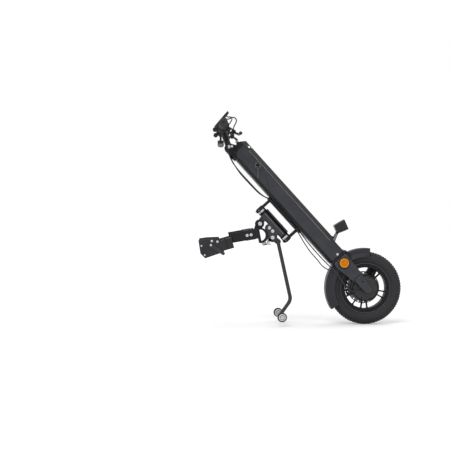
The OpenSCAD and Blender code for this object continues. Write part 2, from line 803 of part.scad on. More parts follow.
// Battery case: lid with sloping edges, a hinge bead at its foot and the box behind it, hollow for the cells
hinge_in = 2.5;
cells_x = lid_x - 4 - cell_d / 2 - cell_pitch * (cell_rows - 1);
cells_z = (battery_z0 + battery_z1 - cell_pitch * (cell_cols - 1)) / 2;
tilt_room = 10;
module battery_case() {
  fit = wall + 0.6;
  color("#2f3033") on_column() difference() {
    union() {
      translate([0, 0, battery_z0]) linear_extrude(battery_l - 0.7) polygon([
        [lid_x, body_w / 2], [front_x, lid_y], [front_x, -lid_y], [lid_x, -body_w / 2]
      ]);
      translate([0, 0, battery_z0 + 3]) linear_extrude(battery_l - 3 - tilt_room) pocket_section(fit);
      along_y([front_x - hinge_in, battery_z0 + hinge_in], hinge_in + 0.5, -lid_y, lid_y);
    }
    translate([lid_x - 1, -body_w, battery_z0 - 1]) cube([1 + gap, 2 * body_w, hinge_in + 1 + gap]);
    translate([cells_x - cell_d / 2 - 0.4, -cell_l / 2 - 0.4, cells_z - cell_d / 2 - 0.4]) cube([
      cell_pitch * (cell_rows - 1) + cell_d + 0.8, cell_l + 0.8, cell_pitch * (cell_cols - 1) + cell_d + 0.8
    ]);
  }
}

// Round cells in rows across the pack
module battery_cells() {
  color("#3b6ea8") on_column() for (i = [0 : cell_rows - 1], j = [0 : cell_cols - 1])
    along_y([cells_x + i * cell_pitch, cells_z + j * cell_pitch], cell_d / 2, -cell_l / 2, cell_l / 2);
}

// Fork crown between the housing and the legs, with cheeks inside the legs beside the mudguard
cheek_t = 8;
cheek_h = 31;
module crown() {
  color(black) on_column() {
    translate([-40, -leg_out, crown_z]) cube([84, 2 * leg_out, crown_t]);
    for (side = [-1, 1]) scale_y(side) plate_xz(leg_in - cheek_t, leg_in) polygon([
      [-40, crown_z + 1], [-40, crown_z - cheek_h + 10], [-30, crown_z - cheek_h],
      [40, crown_z - cheek_h], [50, crown_z - cheek_h + 10], [50, crown_z - 6], [44, crown_z + 1]
    ]);
  }
}

// Outline of a fork leg, widest below the crown, tapering to a round end below the axle
leg_end = -6;
leg_end_r = 16.5;
module leg_outline() {
  difference() {
    union() {
      polygon([
        [-31, crown_z], [-36, crown_z - 24], [-30, crown_z - 60], [-24, crown_z - 100], [-19, crown_z - 130],
        [-leg_end_r + gap, leg_end - 2], [leg_end_r - gap, leg_end - 2], [22, crown_z - 157],
        [28, crown_z - 111], [32, crown_z - 71], [34, crown_z]
      ]);
      translate([0, leg_end]) circle(leg_end_r);
    }
    circle(d = axle_d);
  }
}
caliper_a = 20.5;
caliper_r = disc_d / 2 + 4;
module fork_left() {
  color(charcoal) on_column() plate_xz(leg_in, leg_out) {
    leg_outline();
    difference() {
      rotate(caliper_a) translate([8, -14]) square([caliper_r + 8, 28]);
      circle(d = axle_d + 8);
    }
  }
}
module fork_right() {
  color(charcoal) on_column() plate_xz(-leg_out, -leg_in) leg_outline();
}

// Fixed wheel axle with its two nuts outside the fork legs
module axle() {
  color(silver) on_column() {
    along_y([0, 0], axle_d / 2, -leg_out - nut_t, leg_out + nut_t);
    for (side = [-1, 1]) scale_y(side) difference() {
      hex_y([0, 0], axle_d * 0.85, leg_out, leg_out + nut_t);
      along_y([0, 0], axle_d / 2, leg_out - 1, leg_out + nut_t + 1);
    }
  }
}

// Covers over the axle ends, hollow for the nut, with a small vent hole
cover_top = 61;
module cover_outline() {
  polygon([
    [-leg_end_r + gap, leg_end - 2], [leg_end_r - gap, leg_end - 2], [20, cover_top - 47],
    [25, cover_top - 7], [20, cover_top], [-12, cover_top], [-leg_end_r + gap, cover_top - 5]
  ]);
  translate([0, leg_end]) circle(leg_end_r);
}
module axle_covers() {
  color(charcoal) on_column() for (side = [-1, 1]) scale_y(side) difference() {
    plate_xz(leg_out, leg_out + nut_t + 4) cover_outline();
    along_y([0, 0], axle_d * 0.85 + 1, leg_out - 1, leg_out + nut_t + 1);
    along_y([6, 33], 2.5, leg_out - 1, leg_out + nut_t + 5);
  }
}

// Round amber reflectors on the outsides of the fork legs
reflector_at = [2, crown_z - 27.3];
module reflectors() {
  color("#e08a14") on_column() for (side = [-1, 1]) scale_y(side) {
    along_y(reflector_at, reflector_d / 2, leg_out, leg_out + 5);
    along_y(reflector_at, reflector_d / 2 - 4, leg_out + 5 - eps, leg_out + 8);
  }
}

// Mudguard: a channel about the wheel from ahead of the crown to low behind it
guard_t = 2.5;
guard_h = 40;
guard_w = tyre_w / 2 + 5;
guard_from = 83;
guard_to = 212;
module mudguard() {
  color("#333538") translate([axle_x, 0, axle_z]) rotate([90, 0, 0]) rotate([0, 0, guard_from])
    rotate_extrude(angle = guard_to - guard_from) polygon([
      [guard_r, -guard_w + 3], [guard_r - 3, -guard_w], [guard_r - guard_h, -guard_w],
      [guard_r - guard_h, -guard_w + guard_t], [guard_r - guard_t - 2, -guard_w + guard_t],
      [guard_r - guard_t, -guard_w + guard_t + 2], [guard_r - guard_t, guard_w - guard_t - 2],
      [guard_r - guard_t - 2, guard_w - guard_t], [guard_r - guard_h, guard_w - guard_t],
      [guard_r - guard_h, guard_w], [guard_r - 3, guard_w], [guard_r, guard_w - 3]
    ]);
}

// Disc guard: a thin sector behind the left leg, over the brake disc, with a row of vents
shield_t = 3;
shield_r = disc_d / 2 + 8;
shield_inner = 40;
shield_from = 100;
shield_to = 165;
module disc_shield() {
  reach = 2 * shield_r;
  middle = (shield_from + shield_to) / 2;
  difference() {
    intersection() {
      circle(shield_r);
      polygon([
        [0, 0], reach * [cos(shield_from), sin(shield_from)], reach * [cos(middle), sin(middle)],
        reach * [cos(shield_to), sin(shield_to)]
      ]);
    }
    circle(shield_inner);
    for (a = [118 : 12 : 154]) rotate(a) translate([shield_r - 9, 0]) circle(2.5);
  }
}

// Brake caliper on the left leg's lug, with one pad on each side of the disc, and the disc guard
pad_t = 3;
module caliper() {
  color(black) on_column() {
    plate_xz(leg_in - shield_t, leg_in) disc_shield();
    rotate([0, -caliper_a, 0]) {
      difference() {
        translate([caliper_r - 15, disc_y - 9, -20]) cube([32, leg_in - disc_y + 9, 40]);
        translate([caliper_r - 18, disc_y - pad_t - gap, -14])
          cube([disc_d / 2 + 2 - caliper_r + 18, disc_t + 2 * (pad_t + gap), 28]);
        translate([caliper_r - 18, disc_y - gap, -21])
          cube([disc_d / 2 + 2 - caliper_r + 18, disc_t + 2 * gap, 42]);
      }
      for (y = [disc_y - pad_t - gap, disc_y + disc_t + gap])
        translate([caliper_r - 14, y, -12]) cube([12, pad_t, 24]);
    }
  }
}

// Stator fixed on the axle inside the motor shell
stator_r = motor_r - shell_t - magnet_t - 0.8;
module motor_stator() {
  color("#b87333") turned() translate([axle_d / 2, -motor_w / 2 + cover_t + 3])
    square([stator_r - axle_d / 2, motor_w - 2 * cover_t - 6]);
}

// Tyre with beads seated between the rim flanges
tyre_r = tyre_w / 2;
crest_r = axle_z - tyre_r;
module tyre() {
  color("#2b2c2e") turned() difference() {
    union() {
      intersection() {
        translate([crest_r, 0]) circle(tyre_r);
        translate([rim_r + gap, -tyre_w]) square([axle_z, 2 * tyre_w]);
      }
      translate([bead_r, -rim_w / 2]) square([rim_r + 6 - bead_r, rim_w]);
    }
    translate([crest_r, 0]) circle(tyre_r - 5);
    translate([0, -rim_w / 2 + 7]) square([rim_r + 8, rim_w - 14]);
  }
}

// Cast wheel: channel rim, twin spokes that spread towards the rim, and the drum of the hub motor in one piece
spoke_w = 6;
spoke_apart = 17;
spoke_lean = 9;
module wheel_casting() {
  color("#55575a") {
    turned() {
      translate([barrel_r, -rim_w / 2 - flange_t]) square([barrel_t, rim_w + 2 * flange_t]);
      for (side = [-1, 1]) translate([barrel_r, side * (rim_w + flange_t) / 2 - flange_t / 2])
        square([rim_r - barrel_r, flange_t]);
      translate([motor_r - shell_t, -motor_w / 2]) square([shell_t, motor_w]);
    }
    translate([axle_x, 0, axle_z]) for (i = [0 : spoke_pairs - 1], side = [-1, 1])
      rotate([0, -340 - i * 360 / spoke_pairs, 0]) translate([motor_r - 2, 0, side * spoke_apart / 2])
        rotate([0, -side * spoke_lean, 0]) translate([0, -spoke_t / 2, -spoke_w / 2])
          cube([barrel_r + 1.5 - motor_r + 2, spoke_t, spoke_w]);
  }
}

// Side covers of the motor with bosses round the axle, the left one carrying the disc
module motor_covers() {
  color("#6a6c6f") turned() for (side = [-1, 1]) scale([1, side]) {
    r0 = axle_d / 2 + run;
    translate([r0, motor_w / 2 - cover_t]) square([motor_r - shell_t - r0, cover_t]);
    translate([r0, motor_w / 2 - eps]) square([42 - r0, cover_boss]);
    if (side > 0) translate([r0, motor_w / 2 + cover_boss - 2 * eps]) square([24 - r0, 3 + 2 * eps]);
  }
}

// Ring of magnets inside the drum
module magnet_ring() {
  color("#9a9a9a") turned() translate([motor_r - shell_t - magnet_t, -motor_w / 2 + cover_t])
    square([magnet_t, motor_w - 2 * cover_t]);
}

// Vented brake disc on the left motor cover
module brake_disc() {
  color(silver) translate([axle_x, 0, axle_z]) difference() {
    along_y([0, 0], disc_d / 2, disc_y, disc_y + disc_t);
    along_y([0, 0], axle_d / 2 + 3, disc_y - 1, disc_y + disc_t + 1);
    for (i = [0 : 5]) rotate([0, i * 60, 0]) {
      along_y([37, 0], 11, disc_y - 1, disc_y + disc_t + 1);
      for (a = [-20, 0, 20]) rotate([0, a + 30, 0])
        along_y([disc_d / 2 - 8 + abs(a) / 10, 0], 3, disc_y - 1, disc_y + disc_t + 1);
    }
  }
}

// Bracket on the neck of the column with a pin for the headlamp
module lamp_bracket() {
  foot_x = front_x - neck_step;
  color(black) on_column() {
    difference() {
      for (side = [-1, 1]) scale_y(side) plate_xz(lamp_ear + gap, lamp_ear + gap + 3)
        link2d([foot_x + 4, lamp_xz[1] - 10], lamp_xz, 7);
      translate([foot_x - 60, -20, lamp_xz[1] - 40]) cube([60, 40, 80]);
      along_y(lamp_xz, lamp_pin_d / 2, -20, 20);
    }
    translate([foot_x, -lamp_ear - gap - 3, lamp_xz[1] - 20]) cube([3, 2 * (lamp_ear + gap + 3), 20]);
    along_y(lamp_xz, lamp_pin_d / 2, -lamp_ear - gap - 5, lamp_ear + gap + 5);
  }
}

// Places its children in the headlamp's frame: X along the beam, origin on the pivot
module on_lamp() {
  translate([lamp_at[0], 0, lamp_at[1]]) rotate([0, -lamp_lift, 0]) children();
}

// Headlamp shell, open at the front, with an ear on the bracket's pin
lamp_x0 = 8;
lamp_x1 = 58;
lamp_z0 = 4;
lens_t = 4;
module lamp_outline(inset) {
  polygon([
    [lamp_x0 + inset, lamp_z0 + inset], [lamp_x1, lamp_z0 - 2 + inset],
    [lamp_x1, lamp_z0 + 43 - inset], [lamp_x0 + inset, lamp_z0 + 37 - inset]
  ]);
}
module lamp_shell() {
  color("#232426") on_lamp() difference() {
    union() {
      plate_xz(-lamp_w / 2, lamp_w / 2) lamp_outline(0);
      plate_xz(-lamp_ear, lamp_ear) link2d([0, 0], [lamp_x0 + 6, lamp_z0 + 6], 6.5);
    }
    plate_xz(-lamp_w / 2 + 3, lamp_w / 2 - 3) intersection() {
      lamp_outline(3);
      translate([lamp_x0 + 12, -20]) square([100, 100]);
    }
    along_y([0, 0], lamp_pin_d / 2 + run, -lamp_ear - 1, lamp_ear + 1);
  }
}

// Clear lens set in the mouth of the headlamp
module lamp_lens() {
  color([0.9, 0.93, 0.95, 0.5]) on_lamp() plate_xz(-lamp_w / 2 + 3, lamp_w / 2 - 3) intersection() {
    lamp_outline(3);
    translate([lamp_x1 - lens_t, -20]) square([lens_t, 100]);
  }
}

// Stem from the cheeks of the cap up to the handlebar
module stem() {
  color("#2b2c2f") on_column() difference() {
    union() {
      along_y(stem_foot, stem_eye_r, -stem_w, stem_w);
      bar_xz(stem_foot, bar_local, stem_d / 2);
      along_y(bar_local, bar_d / 2 + 7, -20, 20);
    }
    along_y(bar_local, bar_d / 2, -21, 21);
    along_y(stem_foot, stem_bolt_r, -20, 20);
  }
}

// Straight handlebar tube
module handlebar() {
  color(black) on_bar() difference() {
    along_y([0, 0], bar_d / 2, -bar_l / 2 + 4, bar_l / 2 - 4);
    along_y([0, 0], bar_d / 2 - 2, -bar_l / 2, bar_l / 2);
  }
}

// Rubber grips with a flange at the inner end and a closed outer end
module grips() {
  color("#1d1e1f") on_bar() for (side = [-1, 1]) scale_y(side) difference() {
    union() {
      along_y([0, 0], grip_d / 2, grip_y, bar_l / 2);
      along_y([0, 0], grip_d / 2 + 3, grip_y, grip_y + 4);
      along_y([0, 0], grip_d / 2 + 1.5, bar_l / 2 - 6, bar_l / 2 - 2);
    }
    along_y([0, 0], bar_d / 2, grip_y - 1, bar_l / 2 - 4);
  }
}

// Places its children in the plane of the brake levers, X pointing forward and down
module on_lever() {
  on_bar() rotate([0, lever_drop, 0]) children();
}

// Round switch pods on the bar, each with a clevis for its brake lever, and a bell that hangs from a ring
// on the bar
bell_y = -60;
bell_x = -9;
bell_r = 13;
bell_z = -57;
bell_h = 28;
module bell() {
  difference() {
    union() {
      along_y([0, 0], bar_d / 2 + 4, bell_y - 6, bell_y + 6);
      translate([bell_x, bell_y, bell_z - eps]) cylinder(r = 4.5, h = -bell_z);
    }
    along_y([0, 0], bar_d / 2, bell_y - 7, bell_y + 7);
  }
  translate([bell_x, bell_y, bell_z - bell_h + 9]) cylinder(r = bell_r, h = bell_h - 9);
  translate([bell_x, bell_y, bell_z - bell_h]) cylinder(r1 = bell_r - 6, r2 = bell_r, h = 9 + eps);
}
module lever_pods() {
  color(black) on_bar() bell();
  color(black) on_lever() for (side = [-1, 1]) scale_y(side) difference() {
    union() {
      along_y([0, 0], pod_r, pod_in, pod_in + pod_w);
      translate([0, pod_in, -10]) cube([lever_pivot[0], pod_w, 20]);
      translate([lever_pivot[0], lever_pivot[1], -10]) cylinder(r = pod_w / 2, h = 20);
    }
    along_y([0, 0], bar_d / 2, pod_in - 1, pod_in + pod_w + 1);
    translate([lever_pivot[0] - 12, pod_in - 1, -lever_t / 2 - gap]) cube([40, 40, lever_t + 2 * gap]);
  }
  color(silver) on_lever() for (side = [-1, 1]) scale_y(side)
    translate([lever_pivot[0], lever_pivot[1], -10]) cylinder(r = lever_pin_r, h = 20);
}

// Brake lever on its pin, curved outwards along the grip to a ball end
lever_bend = [74, grip_y + 14];
lever_tip = [80, grip_y + 112];
module brake_lever(side) {
  color("#8f9194") on_lever() scale_y(side) {
    translate([0, 0, -lever_t / 2]) linear_extrude(lever_t) difference() {
      union() {
        translate(lever_pivot) circle(8);
        link2d(lever_pivot + [8, 2], lever_bend, 6);
        link2d(lever_bend, lever_tip, 5);
      }
      translate(lever_pivot) circle(lever_pin_r + run);
    }
    translate([lever_tip[0], lever_tip[1], 0]) sphere(r = 7);
  }
}
module brake_lever_left() brake_lever(1);
module brake_lever_right() brake_lever(-1);

// Thumb lever: a ring on the bar with a paddle towards the rider, the left one set lower
thumb_reach = 36;
thumb_root = 13.7;
thumb_link_r = 8;
paddle_r = 9.5;
module thumb_lever(side) {
  y1 = pod_in - gap;
  drop = side > 0 ? 38 : 22;
  out = [-cos(drop), -sin(drop)];
  color("#26272a") on_bar() scale_y(side) difference() {
    union() {
      along_y([0, 0], thumb_r, y1 - thumb_w, y1);
      plate_xz(y1 - thumb_w + 1, y1 - 1) link2d(thumb_root * out, thumb_reach * out, thumb_link_r);
      along_y(thumb_reach * out, paddle_r, y1 - thumb_w - 5, y1);
    }
    along_y([0, 0], bar_d / 2 + run, y1 - thumb_w - 1, y1 + 1);
  }
}
module thumb_lever_left() thumb_lever(1);
module thumb_lever_right() thumb_lever(-1);

// Places its children in the display's frame: X up its face, Z out of it
module on_display() {
  on_bar() rotate([0, -display_tilt, 0]) children();
}

// Display case on two rings clamped round the bar, with a well for its button
module display() {
  color("#1a1b1d") on_display() difference() {
    union() {
      translate([display_x, -display_w / 2, display_z]) cube([display_l, display_w, display_t]);
      for (side = [-1, 1]) scale_y(side) {
        along_y([0, 0], bar_d / 2 + 4, 22, 30);
        translate([-8, 22, 0]) cube([16, 8, display_z + eps]);
      }
    }
    for (side = [-1, 1]) scale_y(side) along_y([0, 0], bar_d / 2, 21, 31);
    translate([button_at[0], button_at[1], display_z + display_t - button_h - button_travel])
      cylinder(r = button_d / 2 + run, h = 20);
  }
}

// Push button on the display's face
module mode_button() {
  color("#c8c8c8") on_display()
    translate([button_at[0], button_at[1], display_z + display_t - button_h + gap])
      cylinder(d = button_d, h = button_h + button_travel);
}

// Round tube swept along a route, its rings carried on without twist
function unit(v) = v / norm(v);
function along(route, i) =
  unit(route[min(i + 1, len(route) - 1)] - route[max(i - 1, 0)]);
function carried(route, i, side) =
  i == len(route) ? [] :
  let (t = along(route, i), s = unit(side - (side * t) * t))
  concat([s], carried(route, i + 1, s));
module swept_tube(route, r, sides = 8) {
  side = carried(route, 0, [0.4, 0.2, 0.9]);
  rings = [for (i = [0 : len(route) - 1]) let (t = along(route, i), up = cross(t, side[i]))
    for (k = [0 : sides - 1]) route[i] + r * (cos(k * 360 / sides) * side[i] + sin(k * 360 / sides) * up)];
  last = (len(route) - 1) * sides;
  polyhedron(rings, concat(
    [[for (k = [0 : sides - 1]) k]],
    [for (i = [0 : len(route) - 2], k = [0 : sides - 1])
      let (a = i * sides + k, b = i * sides + (k + 1) % sides)
      each [[a, a + sides, b], [b, a + sides, b + sides]]],
    [[for (k = [sides - 1 : -1 : 0]) last + k]]
  ));
}

// Brake, control, switch and motor cables
module cables() {
  color("#1b1b1c") on_column()
    for (route = [brake_route, control_route, switch_route, motor_route]) swept_tube(route, cable_d / 2);
}

head_tube();
head_plates();
head_bolts();
head_bearings();
tilt_plates();
cross_bar();
arm_left();
arm_right();
arm_bolts_left();
arm_bolts_right();
clamp_body_left();
clamp_body_right();
clamp_jaw_left();
clamp_jaw_right();
clamp_latch_left();
clamp_latch_right();
stand_leg();
stand_axle();
stand_wheel_left();
stand_wheel_right();
column_housing();
top_cap();
steer_arms();
rail();
steering_bolt();
controller();
column_bolts();
lock_barrel();
key();
key_ring();
battery_case();
battery_cells();
crown();
fork_left();
fork_right();
axle();
axle_covers();
reflectors();
mudguard();
caliper();
motor_stator();
tyre();
wheel_casting();
motor_covers();
magnet_ring();
brake_disc();
lamp_bracket();
lamp_shell();
lamp_lens();
stem();
handlebar();
grips();
lever_pods();
display();
mode_button();
thumb_lever_left();
thumb_lever_right();
brake_lever_left();
brake_lever_right();
cables();
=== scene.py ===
# Front electric drive: a leaning battery column over a hub-motor wheel, steered by a handlebar, with a docking
# frame behind it. Sizes are in millimetres until a mesh is made.
import json
import math
import bmesh
import bpy
import numpy as np
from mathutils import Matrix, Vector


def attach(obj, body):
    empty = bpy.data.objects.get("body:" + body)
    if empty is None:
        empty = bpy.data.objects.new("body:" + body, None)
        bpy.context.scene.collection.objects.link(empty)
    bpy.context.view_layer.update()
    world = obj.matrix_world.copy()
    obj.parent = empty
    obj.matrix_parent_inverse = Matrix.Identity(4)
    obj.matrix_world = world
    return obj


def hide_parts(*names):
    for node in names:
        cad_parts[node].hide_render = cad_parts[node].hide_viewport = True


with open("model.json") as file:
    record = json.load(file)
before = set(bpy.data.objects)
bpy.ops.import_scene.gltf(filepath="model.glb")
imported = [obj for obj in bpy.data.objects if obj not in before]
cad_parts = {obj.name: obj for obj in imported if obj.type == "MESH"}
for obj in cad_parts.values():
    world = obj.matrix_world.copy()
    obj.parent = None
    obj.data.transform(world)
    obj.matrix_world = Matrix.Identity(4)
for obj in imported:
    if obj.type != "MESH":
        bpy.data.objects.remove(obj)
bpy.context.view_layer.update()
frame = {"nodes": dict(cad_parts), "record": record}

# Docking head. A steel steering tube with two side plates welded to it, painted satin black and grey, turns on sealed
# bearings. Zinc plated hexagon bolts go through the plates, and two spring plungers sit beside the stand's pivot.

# The wheel's axle, the column's lean, and the directions in which the column faces and rises
AXLE = np.array([277.7, 0.0, 156.0])
RAKE = math.radians(42.2)
FORWARD = Vector((math.cos(RAKE), 0, math.sin(RAKE)))
UPWARD = Vector((-math.sin(RAKE), 0, math.cos(RAKE)))
SIDES = {"left": 1, "right": -1}
# Edges that turn by more than this many degrees look sharp
CREASE = 35


def linear(code):
    """Linear colour of an sRGB hex code: each channel through the standard curve."""
    c = np.array([int(code[i:i + 2], 16) for i in (1, 3, 5)]) / 255
    c = np.where(c <= 0.04045, c / 12.92, ((c + 0.055) / 1.055) ** 2.4)
    return (*c.tolist(), 1.0)


def add_node(tree, kind, inputs=None, **settings):
    """Adds one node with its settings; an input that is given a socket is linked to it, any other is set."""
    node = tree.nodes.new(kind)
    for key, value in settings.items():
        setattr(node, key, value)
    for key, value in (inputs or {}).items():
        if isinstance(value, bpy.types.NodeSocket):
            tree.links.new(value, node.inputs[key])
        else:
            node.inputs[key].default_value = value
    return node


def finish_of(name, low, high, patch, grain, depth, rough, spread, metallic=0.0, **sockets):
    """A finish that drifts between two close colours in patches, with a roughness that drifts too and a fine
    grain in relief. Both are noise on Object coordinates: a size of s mm is a scale of 1000 / s per metre. The
    noise mostly lies between 0.3 and 0.7, so that span is stretched over the two colours."""
    material = bpy.data.materials.new(name)
    material.use_nodes = True
    tree = material.node_tree
    shader = tree.nodes["Principled BSDF"]
    place = add_node(tree, "ShaderNodeTexCoord").outputs["Object"]
    patches = add_node(tree, "ShaderNodeTexNoise", {"Vector": place, "Scale": 1000 / patch, "Detail": 4.0})
    grains = add_node(tree, "ShaderNodeTexNoise", {"Vector": place, "Scale": 1000 / grain, "Detail": 2.0})
    usual = {"Value": patches.outputs["Fac"], "From Min": 0.3, "From Max": 0.7}
    even = add_node(tree, "ShaderNodeMapRange", usual)
    tone = add_node(tree, "ShaderNodeMix", {0: even.outputs[0], 6: linear(low), 7: linear(high)}, data_type="RGBA")
    sheen = add_node(tree, "ShaderNodeMapRange", {**usual, "To Min": rough - spread, "To Max": rough + spread})
    relief = add_node(tree, "ShaderNodeBump", {"Height": grains.outputs["Fac"], "Distance": depth / 1000})
    tree.links.new(tone.outputs[2], shader.inputs["Base Color"])
    tree.links.new(sheen.outputs[0], shader.inputs["Roughness"])
    tree.links.new(relief.outputs[0], shader.inputs["Normal"])
    shader.inputs["Metallic"].default_value = metallic
    for key, value in sockets.items():
        shader.inputs[key.replace("_", " ")].default_value = value
    return material


# Powder coat: baked black paint with a fine orange peel of about 1.5 mm and a satin sheen
black_paint = finish_of("black_powder_coat", "#0f0f13", "#16161b", patch=40, grain=1.5, depth=0.05, rough=0.42,
                        spread=0.06, Specular_IOR_Level=0.25)
# Tube paint: the same coat over a drawn tube, a little bluer and glossier, so that a streak of light runs along it
tube_paint = finish_of("blue_black_enamel", "#111116", "#19191f", patch=50, grain=1.2, depth=0.03, rough=0.30,
                       spread=0.05, metallic=0.3)
# Grey powder coat: the same baked paint a shade paler, on flat cut plate
plate_paint = finish_of("dark_grey_powder_coat", "#1c1b20", "#252429", patch=40, grain=1.5, depth=0.05, rough=0.42,
                        spread=0.06)
# Painted highlight: a pale grey line along the plates' front edges, standing in for the light those edges catch
plate_highlight_paint = finish_of("painted_highlight_coat", "#74737a", "#8c8b91", patch=4, grain=0.8, depth=0.03, rough=0.35,
                       spread=0.08, metallic=0.4)
# Zinc plating: bright bluish metal, clouded in patches of a few millimetres
zinc_plate = finish_of("zinc_plated_steel", "#a9acaf", "#cdd0d2", patch=5, grain=0.8, depth=0.02, rough=0.30,
                       spread=0.08, metallic=1.0)

body_of = {n: body for body, members in frame["record"]["behaviour"]["bodies"].items() for n in members}


def worked(node, edge, material, segments=2, zones=(), cut=None):
    """A copy of a solid with its triangles merged, its flats joined into whole faces, and every sharp edge rolled
    over to a round of the given size. A zone is another material and a test of a face, which gives that material to
    the faces that pass. A cut is a point and a direction: faces are split at that plane."""
    shell = bmesh.new()
    shell.from_mesh(frame["nodes"][node].data)
    bmesh.ops.remove_doubles(shell, verts=shell.verts, dist=1e-6)
    bmesh.ops.dissolve_limit(shell, angle_limit=math.radians(0.5), verts=shell.verts, edges=shell.edges)
    if cut:
        whole = shell.verts[:] + shell.edges[:] + shell.faces[:]
        bmesh.ops.bisect_plane(shell, geom=whole, plane_co=cut[0], plane_no=cut[1])
    for face in shell.faces:
        passed = [k for k, (_, test) in enumerate(zones, 1) if test(face)]
        face.material_index = max(passed, default=0)
    mesh = bpy.data.meshes.new(node + ".worked")
    shell.to_mesh(mesh)
    shell.free()
    # Normals carried over from the solid belong to its old triangles
    if "custom_normal" in mesh.attributes:
        mesh.attributes.remove(mesh.attributes["custom_normal"])
    for each in [material] + [other for other, _ in zones]:
        mesh.materials.append(each)
    mesh.shade_smooth()
    mesh.set_sharp_from_angle(angle=math.radians(CREASE))
    piece = bpy.data.objects.new(node + ".worked", mesh)
    bpy.context.scene.collection.objects.link(piece)
    roll = piece.modifiers.new("edges", "BEVEL")
    roll.width = edge / 1000
    roll.segments = segments
    roll.limit_method = "ANGLE"
    roll.angle_limit = math.radians(CREASE)
    roll.use_clamp_overlap = False
    roll.harden_normals = True
    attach(piece, body_of[node])
    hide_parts(node)
    return piece


def placed(points, at, lean):
    """Points of a local frame set down at a point, after a turn about Y that leans local Z back by the angle."""
    p = np.asarray(points, float)
    c, s = math.cos(lean), math.sin(lean)
    return np.stack([c * p[..., 0] - s * p[..., 2], p[..., 1], s * p[..., 0] + c * p[..., 2]], -1) + at


def turned(profile, count, at=(0.0, 0.0)):
    """Surface of revolution about a line along Y: each profile point (radius, y) goes round the line in a circle."""
    a = np.linspace(0, 2 * math.pi, count, endpoint=False)[:, None]
    r, y = np.asarray(profile, float).T
    return np.stack([at[0] + r * np.cos(a), np.broadcast_to(y, (count, len(y))), at[1] + r * np.sin(a)], -1)


def swept(line, radius, sides=8):
    """Round tube along a line: rings of points round each of its points, square to it, each turned as little as
    can be from the one before, starting from a direction that no line follows. The radius is one number, or one
    for each point."""
    line = np.asarray(line, float)
    ahead = np.gradient(line, axis=0)
    ahead /= np.linalg.norm(ahead, axis=1)[:, None]
    side, sides_of = np.array([0.37, 0.21, 0.9]), []
    for t in ahead:
        side = side - side.dot(t) * t
        side /= np.linalg.norm(side)
        sides_of.append(side)
    u = np.array(sides_of)[:, None]
    v = np.cross(ahead, u[:, 0])[:, None]
    a = np.linspace(0, 2 * math.pi, sides, endpoint=False)[None, :, None]
    r = np.broadcast_to(np.asarray(radius, float), (len(line),))[:, None, None]
    return line[:, None] + r * (np.cos(a) * u + np.sin(a) * v)


def piece_of(name, sheets, material, body, stands_for=(), crease=CREASE):
    """One piece from grids of points in millimetres, each with flags for whether its rows and its columns close on
    themselves. Neighbours in a grid make four-cornered faces; doubles are merged and the faces turned outwards."""
    points, faces, start = [], [], 0
    for grid, round_u, round_v in sheets:
        m, n = grid.shape[:2]
        i = np.arange(m if round_u else m - 1)[:, None]
        j = np.arange(n if round_v else n - 1)[None, :]
        here, over = i * n, (i + 1) % m * n
        beside = (j + 1) % n
        faces.append(np.stack([here + j, over + j, over + beside, here + beside], -1).reshape(-1, 4) + start)
        points.append(grid.reshape(-1, 3))
        start += m * n
    mesh = bpy.data.meshes.new(name)
    mesh.from_pydata(np.vstack(points) / 1000, [], np.vstack(faces).tolist())
    shell = bmesh.new()
    shell.from_mesh(mesh)
    bmesh.ops.remove_doubles(shell, verts=shell.verts, dist=1e-6)
    bmesh.ops.dissolve_degenerate(shell, dist=1e-7, edges=shell.edges)
    bmesh.ops.recalc_face_normals(shell, faces=shell.faces)
    shell.to_mesh(mesh)
    shell.free()
    mesh.materials.append(material)
    mesh.shade_smooth()
    mesh.set_sharp_from_angle(angle=math.radians(crease))
    piece = bpy.data.objects.new(name, mesh)
    bpy.context.scene.collection.objects.link(piece)
    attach(piece, body)
    if stands_for:
        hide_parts(*stands_for)
    return piece


def coil(p, q, radius, turns):
    """Line of a coil spring: round and round the straight line from p to q, and evenly along it."""
    p, q = np.array(p, float), np.array(q, float)
    d = (q - p) / np.linalg.norm(q - p)
    t = np.linspace(0, 1, int(turns * 16) + 1)[:, None]
    u, v = np.array([0, 1.0, 0]), np.cross(d, [0, 1.0, 0])
    a = 2 * math.pi * turns * t
    return p + (q - p) * t + radius * (np.cos(a) * u + np.sin(a) * v)


steer_x, low_end, high_end = -106, 385.9, 544.5
ring_profile = np.array([[10.2, 0], [18.9, 0], [19.5, 0.6], [19.5, 8.4], [18.9, 9], [10.2, 9]])
cup_profile = np.array([[10.2, 9], [18.2, 9], [18.2, 9.8], [19.5, 10.4], [19.5, 13.4], [18.9, 14], [10.2, 14]])


def bearing(profile):
    """The profile turned about the steering line at the lower end and, upside down, at the upper end."""
    ends = []
    for z in (low_end + profile[:, 1], high_end - profile[:, 1]):
        ring = turned(np.stack([profile[:, 0], z], 1), 64)[..., [0, 2, 1]] + [steer_x, 0, 0]
        ends.append((placed(ring, AXLE, RAKE), True, True))
    return ends


worked("head_tube", 0.8, tube_paint)
worked("head_plates", 1.0, plate_paint)
# A thin pale tube along each plate's front edge carries the painted highlight
edge_x, edge_y, edge_r = -104.2, 25.2, 1.6
edges = [placed([[edge_x, sign * edge_y, z] for z in (406, 440, 480, 524)], AXLE, RAKE) for sign in SIDES.values()]
piece_of("plate_edge_highlights", [(swept(line, edge_r), False, True) for line in edges], plate_highlight_paint, "docking_head")
worked("head_bolts", 0.7, zinc_plate)
piece_of("bearing_cups", bearing(cup_profile), black_paint, "docking_head", ["head_bearings"])
piece_of("bearing_rings", bearing(ring_profile), zinc_plate, "docking_head")
spring_r, spring_turns, wire_r = 5.6, 8, 0.8
springs = [placed(coil([-173, y, 427.1], [-199, y, 429.8], spring_r, spring_turns), AXLE, RAKE)
           for y in (31.5, -31.5)]
piece_of("plunger_springs", [(swept(line, wire_r, 6), False, True) for line in springs], zinc_plate, "docking_head")

